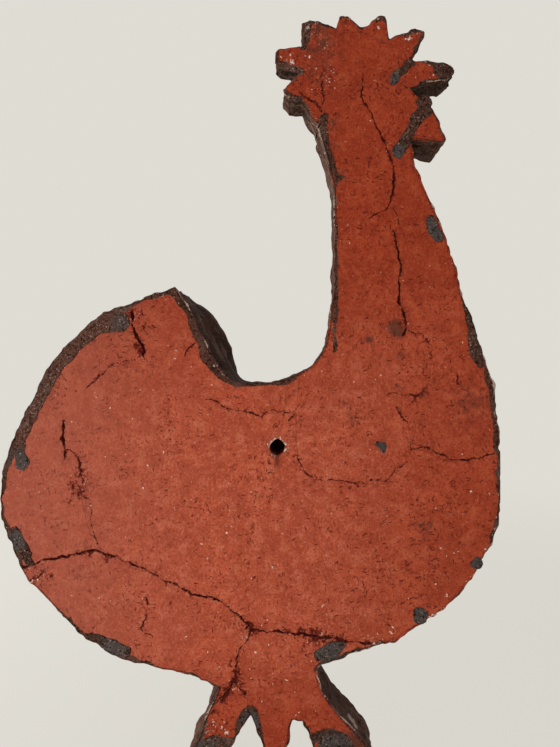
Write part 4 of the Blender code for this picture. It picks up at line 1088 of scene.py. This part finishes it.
class ROOSTER_OT_glaze_coat(Operator):
    """Gives the coat of glaze its lumpy walls and its chipped rim at the back"""
    bl_idname = "rooster.glaze_coat"
    bl_label = "Glaze coat"

    def execute(self, context):
        scene = context.scene
        clay, glaze = scene.rooster_clay, scene.rooster_glaze
        shape = merged_copy("glaze_coat")
        slabs = tree_of(CLAY_NODES)

        def outside(face):
            """Faces over the clay's far side stay as they are."""
            middle = face.calc_center_median()
            return slabs.find_nearest(middle)[3] > 0.8 * MM and face.normal.y > FACES_WALL

        cut_fine(shape, outside, glaze.step)
        rim = [
            e for e in shape.edges if max(v.co.y for v in e.verts) < AT_BACK and e.calc_length() > RIM_STEP
        ]
        bmesh.ops.subdivide_edges(shape, edges=rim, cuts=1)
        points, normals = arrays_of(shape)
        edge_gap = OUTER_EDGE.reach(flat(points))[0]
        at_back = points[:, 1] < AT_BACK
        far = np.array([slabs.find_nearest(Vector(p))[3] for p in points])
        outer = smooth_step(far, 0.6 * MM, 1.2 * MM)
        moved = points + hand_sway(points, edge_gap)
        fade = np.clip(1.0 - points[:, 1] / BLEND_DEPTH, 0.0, 1.0) ** 2
        moved[:, 1] += (back_relief(points, edge_gap, clay) - GLAZE_STEP) * fade
        deep = np.clip(points[:, 1] / BLEND_DEPTH, 0.0, 1.0) * outer
        moved += normals * (wall_lumps(points, glaze) * deep)[:, None]
        inner = at_back & (far < LUTED_GAP)
        toward = np.array([slabs.find_nearest(Vector(p))[0] for p in points[inner]]) - points[inner]
        moved[inner] += toward * np.array([0.5, 0.0, 0.5])
        values = surface_values(points, edge_gap)
        lap = np.maximum(lap_reach(points, edge_gap) / MM, -0.9 + 1.3 * lattice_noise(points, 6.0 * MM, 61))
        values["glaze_reach"] = np.clip(lap + points[:, 1] / (0.6 * MM), -4.0, 6.0)
        thin = np.exp(-points[:, 1] / (2.5 * MM)) * (0.7 + 0.3 * lattice_noise(points, 12.0 * MM, 62))
        walls = 0.3 + 0.25 * lattice_noise(points, 20.0 * MM, 64)
        walls += 0.35 * smooth_step(-points[:, 2], 120.0 * MM, 150.0 * MM)
        # It ran thin over the front's rounded edge too
        edge = np.clip(4.0 * normals[:, 1] * (1.0 - normals[:, 1]), 0.0, 1.0) * (points[:, 1] > 5.0 * MM)
        values["thin"] = np.maximum(np.maximum(thin, walls), edge)
        piece_from(
            shape, "fired_glaze_coat", moved, finishes(scene)[0], values, ("glaze_coat",),
            finishes(scene)[2],
        )
        return {"FINISHED"}


def remeshed(shape, name, voxel):
    """The shape as one even skin of small faces."""
    mesh = bpy.data.meshes.new(name + "_rough")
    shape.to_mesh(mesh)
    shape.free()
    rough = bpy.data.objects.new(name + "_rough", mesh)
    bpy.context.scene.collection.objects.link(rough)
    skin = rough.modifiers.new("Skin", "REMESH")
    skin.mode = "VOXEL"
    skin.voxel_size = voxel
    graph = bpy.context.evaluated_depsgraph_get()
    smooth = bmesh.new()
    smooth.from_mesh(rough.evaluated_get(graph).to_mesh())
    bpy.data.objects.remove(rough)
    bpy.data.meshes.remove(mesh)
    return smooth


def soften(skin, rounds):
    """Evens out a skin of small faces, a little more with each round."""
    for _ in range(rounds):
        bmesh.ops.smooth_vert(
            skin, verts=skin.verts, factor=0.5, use_axis_x=True, use_axis_y=True, use_axis_z=True,
        )


def run_piece(name, shape, sizes, nodes, depth=0.9):
    """A run or drop of glaze, soft-edged and sunk into the clay to a depth in millimetres."""
    skin = remeshed(shape, name, sizes.run_step)
    soften(skin, 4)
    points = arrays_of(skin)[0]
    edge_gap = OUTER_EDGE.reach(flat(points))[0]
    middle = points[:, 1].mean()
    half = (points[:, 1].max() - points[:, 1].min()) / 2.0
    share = np.clip((middle - points[:, 1]) / half, -1.0, 1.0)
    seat = hand_waves(points, edge_gap, bpy.context.scene.rooster_clay)
    ripple = bumps(points, 3.4, 71, 0.16)
    moved = points + swell(points)
    moved[:, 1] = seat + np.where(share > 0.0, -(sizes.run_height + ripple) * share, -depth * MM * share)
    for axis, seed in ((0, 72), (2, 73)):
        moved[:, axis] += bumps(points, 4.6, seed, 0.9)
        moved[:, axis] += bumps(points, 1.9, seed + 5, 0.45)
    values = {
        "worn": 0.5 + 0.3 * lattice_noise(points, 8.0 * MM, 75),
        "bead": smooth_step(blobs(points, BEADS), 0.1, 0.8),
        "thin": (0.8 if "tail" in name else 0.3) + 0.25 * lattice_noise(points, 9.0 * MM, 74),
    }
    finish = finishes(bpy.context.scene)[1]
    return piece_from(skin, name, moved, finish, values, nodes)


class ROOSTER_OT_glaze_runs(Operator):
    """Gives the runs, tips and drops of glaze on the back their rounded, beaded form"""
    bl_idname = "rooster.glaze_runs"
    bl_label = "Glaze runs and drops"

    def execute(self, context):
        sizes = context.scene.rooster_glaze
        for node in RUN_NODES:
            run_piece("set_" + node, merged_copy(node), sizes, (node,))
        for name, (x, z, radius, depth) in DROPS.items():
            drop = bmesh.new()
            bmesh.ops.create_icosphere(drop, subdivisions=4, radius=radius * MM)
            bmesh.ops.scale(drop, vec=Vector((1.0, 0.2, 1.15)), verts=drop.verts)
            bmesh.ops.translate(drop, vec=Vector((x * MM, -0.4 * MM, z * MM)), verts=drop.verts)
            run_piece(name, drop, sizes, (), depth)
        return {"FINISHED"}


class ROOSTER_OT_front_relief(Operator):
    """Gives the wing, the tail plumes and the eye on the front their glazed surface"""
    bl_idname = "rooster.front_relief"
    bl_label = "Wing, plumes and eye"

    def execute(self, context):
        sizes = context.scene.rooster_glaze
        for node in RELIEF_NODES:
            skin = remeshed(merged_copy(node), node, WING_STEP if node == "wing_relief" else PLUME_STEP)
            soften(skin, 1)
            points, normals = arrays_of(skin)
            lift = lattice_noise(points, sizes.lump_size, 51) * 0.25 * MM
            lift += bumps(points, 2.8, 82, 0.12)
            moved = points + normals * lift[:, None]
            # The relief is luted onto a coat that was drawn in, so its foot follows it
            foot = points[:, 1] < points[:, 1].min() + 0.4 * MM
            moved[foot, 1] -= 1.6 * MM
            values = {title: np.zeros(len(points)) for title in ("bead", "worn")}
            # The glaze ran thin over the raised edges
            values["thin"] = np.clip(1.6 * (1.0 - normals[:, 1]), 0.0, 1.0)
            finish = finishes(context.scene)[2]
            piece_from(skin, "fired_" + node, moved, finish, values, (node,))
        return {"FINISHED"}


class ROOSTER_OT_stage(Operator):
    """Sets the pale floor, the soft light and the camera"""
    bl_idname = "rooster.stage"
    bl_label = "Stage"

    def execute(self, context):
        scene, stage = context.scene, context.scene.rooster_stage
        floor_shape = bmesh.new()
        bmesh.ops.create_grid(floor_shape, x_segments=8, y_segments=8, size=6.0)
        bmesh.ops.translate(floor_shape, vec=Vector((0.0, 0.0, BOX_LOW[2])), verts=floor_shape.verts)
        mesh = bpy.data.meshes.new("floor")
        floor_shape.to_mesh(mesh)
        floor_shape.free()
        floor = bpy.data.objects.new("floor", mesh)
        scene.collection.objects.link(floor)
        mesh.materials.append(self.floor_material(tuple(stage.floor)))
        self.light(stage)
        self.camera(scene)
        scene.view_settings.view_transform = "Standard"
        return {"FINISHED"}

    def seen_directly(self, add):
        """1 where the camera sees a surface straight, or in a shiny one."""
        camera, glossy = add("LightPath", output="Is Camera Ray"), add("LightPath", output="Is Glossy Ray")
        seen = add("Math", (camera, glossy), **LARGER)
        return add("Math", (seen, add("LightPath", output="Is Transmission Ray")), **LARGER)

    def floor_material(self, tone):
        """Matt pale board near the rooster, fading into the even background far from it."""
        made, add = new_tree("pale_matt_board")
        gap = add("VectorMath", (add("TexCoord", output="Object"),), "Value", operation="LENGTH")
        far = add("MapRange", (gap, 0.35, 1.1, 0.75, 1.0), **SMOOTH)
        board = add("BsdfPrincipled", {"Base Color": tone, "Roughness": 0.8})
        glow = add("Emission", (tone, 1.0))
        factor = add("Math", (far, self.seen_directly(add)), **TIMES)
        add("OutputMaterial", (add("MixShader", (factor, board, glow)),))
        return made

    def light(self, stage):
        """A large soft window at the left, and even light from all round."""
        world = bpy.data.worlds.new("soft_studio")
        world.use_nodes = True
        bpy.context.scene.world = world
        tree = world.node_tree
        tree.nodes.clear()
        add = partial(add_node, tree)
        even = add("Background", (linear_colour("#F4F4F6"), stage.fill))
        seen = add("Background", (tuple(stage.floor), 1.0))
        add("OutputWorld", (add("MixShader", (self.seen_directly(add), even, seen)),))
        for name, place, size, power in (
            ("window", (-0.38, -0.68, -0.42), 0.8, stage.key_power),
            ("front_window", (-1.1, 0.6, 0.8), 0.9, stage.key_power * 0.9),
        ):
            lamp = bpy.data.lights.new(name, "AREA")
            lamp.shape = "SQUARE"
            lamp.size = size
            lamp.energy = power
            lamp.color = linear_colour("#FFFBF4")
            holder = bpy.data.objects.new(name, lamp)
            bpy.context.scene.collection.objects.link(holder)
            holder.location = place
            aim = Vector((0.0, 0.0, 0.03)) - holder.location
            holder.rotation_euler = aim.to_track_quat("-Z", "Y").to_euler()

    def camera(self, scene):
        """A wide view, square to the back, from over the place that the walls' parallax gives."""
        camera = bpy.data.cameras.new("camera")
        camera.sensor_width = SENSOR_WIDTH
        camera.lens = SENSOR_WIDTH * (CAMERA_DISTANCE / MM_PER_PIXEL) / PICTURE_HEIGHT
        middle_x = (PICTURE_WIDTH / 2.0 - PICTURE_ORIGIN[0]) * MM_PER_PIXEL
        middle_z = (PICTURE_ORIGIN[1] - PICTURE_HEIGHT / 2.0) * MM_PER_PIXEL
        camera.shift_x = (middle_x - CAMERA_PLACE[0]) / MM_PER_PIXEL / PICTURE_HEIGHT
        camera.shift_y = (middle_z - CAMERA_PLACE[1]) / MM_PER_PIXEL / PICTURE_HEIGHT
        camera.clip_start = 0.01
        holder = bpy.data.objects.new("camera", camera)
        scene.collection.objects.link(holder)
        holder.location = (CAMERA_PLACE[0] * MM, -CAMERA_DISTANCE * MM, CAMERA_PLACE[1] * MM)
        holder.rotation_euler = (math.pi / 2.0, 0.0, 0.0)
        scene.camera = holder


class ROOSTER_PT_panel(Panel):
    """Buttons and settings of the rooster"""
    bl_label = "Rooster"
    bl_idname = "ROOSTER_PT_panel"
    bl_space_type = "VIEW_3D"
    bl_region_type = "UI"
    bl_category = "Rooster"

    def draw(self, context):
        for maker in MAKERS:
            self.layout.operator(maker.bl_idname)
        for group in ("rooster_clay", "rooster_glaze", "rooster_stage"):
            box = self.layout.box()
            settings = getattr(context.scene, group)
            for key in settings.__annotations__:
                box.prop(settings, key)


MAKERS = (
    ROOSTER_OT_clay_slabs, ROOSTER_OT_pinched_lumps, ROOSTER_OT_glaze_coat, ROOSTER_OT_glaze_runs,
    ROOSTER_OT_front_relief, ROOSTER_OT_stage,
)
SETTINGS = {
    "rooster_clay": ROOSTER_PG_clay, "rooster_glaze": ROOSTER_PG_glaze, "rooster_stage": ROOSTER_PG_stage,
}


def register():
    for group in (*SETTINGS.values(), *MAKERS, ROOSTER_PT_panel):
        bpy.utils.register_class(group)
    for name, group in SETTINGS.items():
        setattr(bpy.types.Scene, name, PointerProperty(type=group))


def unregister():
    for name in SETTINGS:
        delattr(bpy.types.Scene, name)
    for group in (ROOSTER_PT_panel, *reversed(MAKERS), *SETTINGS.values()):
        bpy.utils.unregister_class(group)


def main():
    """Makes every piece and the stage."""
    register()
    bpy.ops.rooster.clay_slabs()
    bpy.ops.rooster.pinched_lumps()
    bpy.ops.rooster.glaze_coat()
    bpy.ops.rooster.glaze_runs()
    bpy.ops.rooster.front_relief()
    bpy.ops.rooster.stage()


if __name__ == "__main__":
    main()
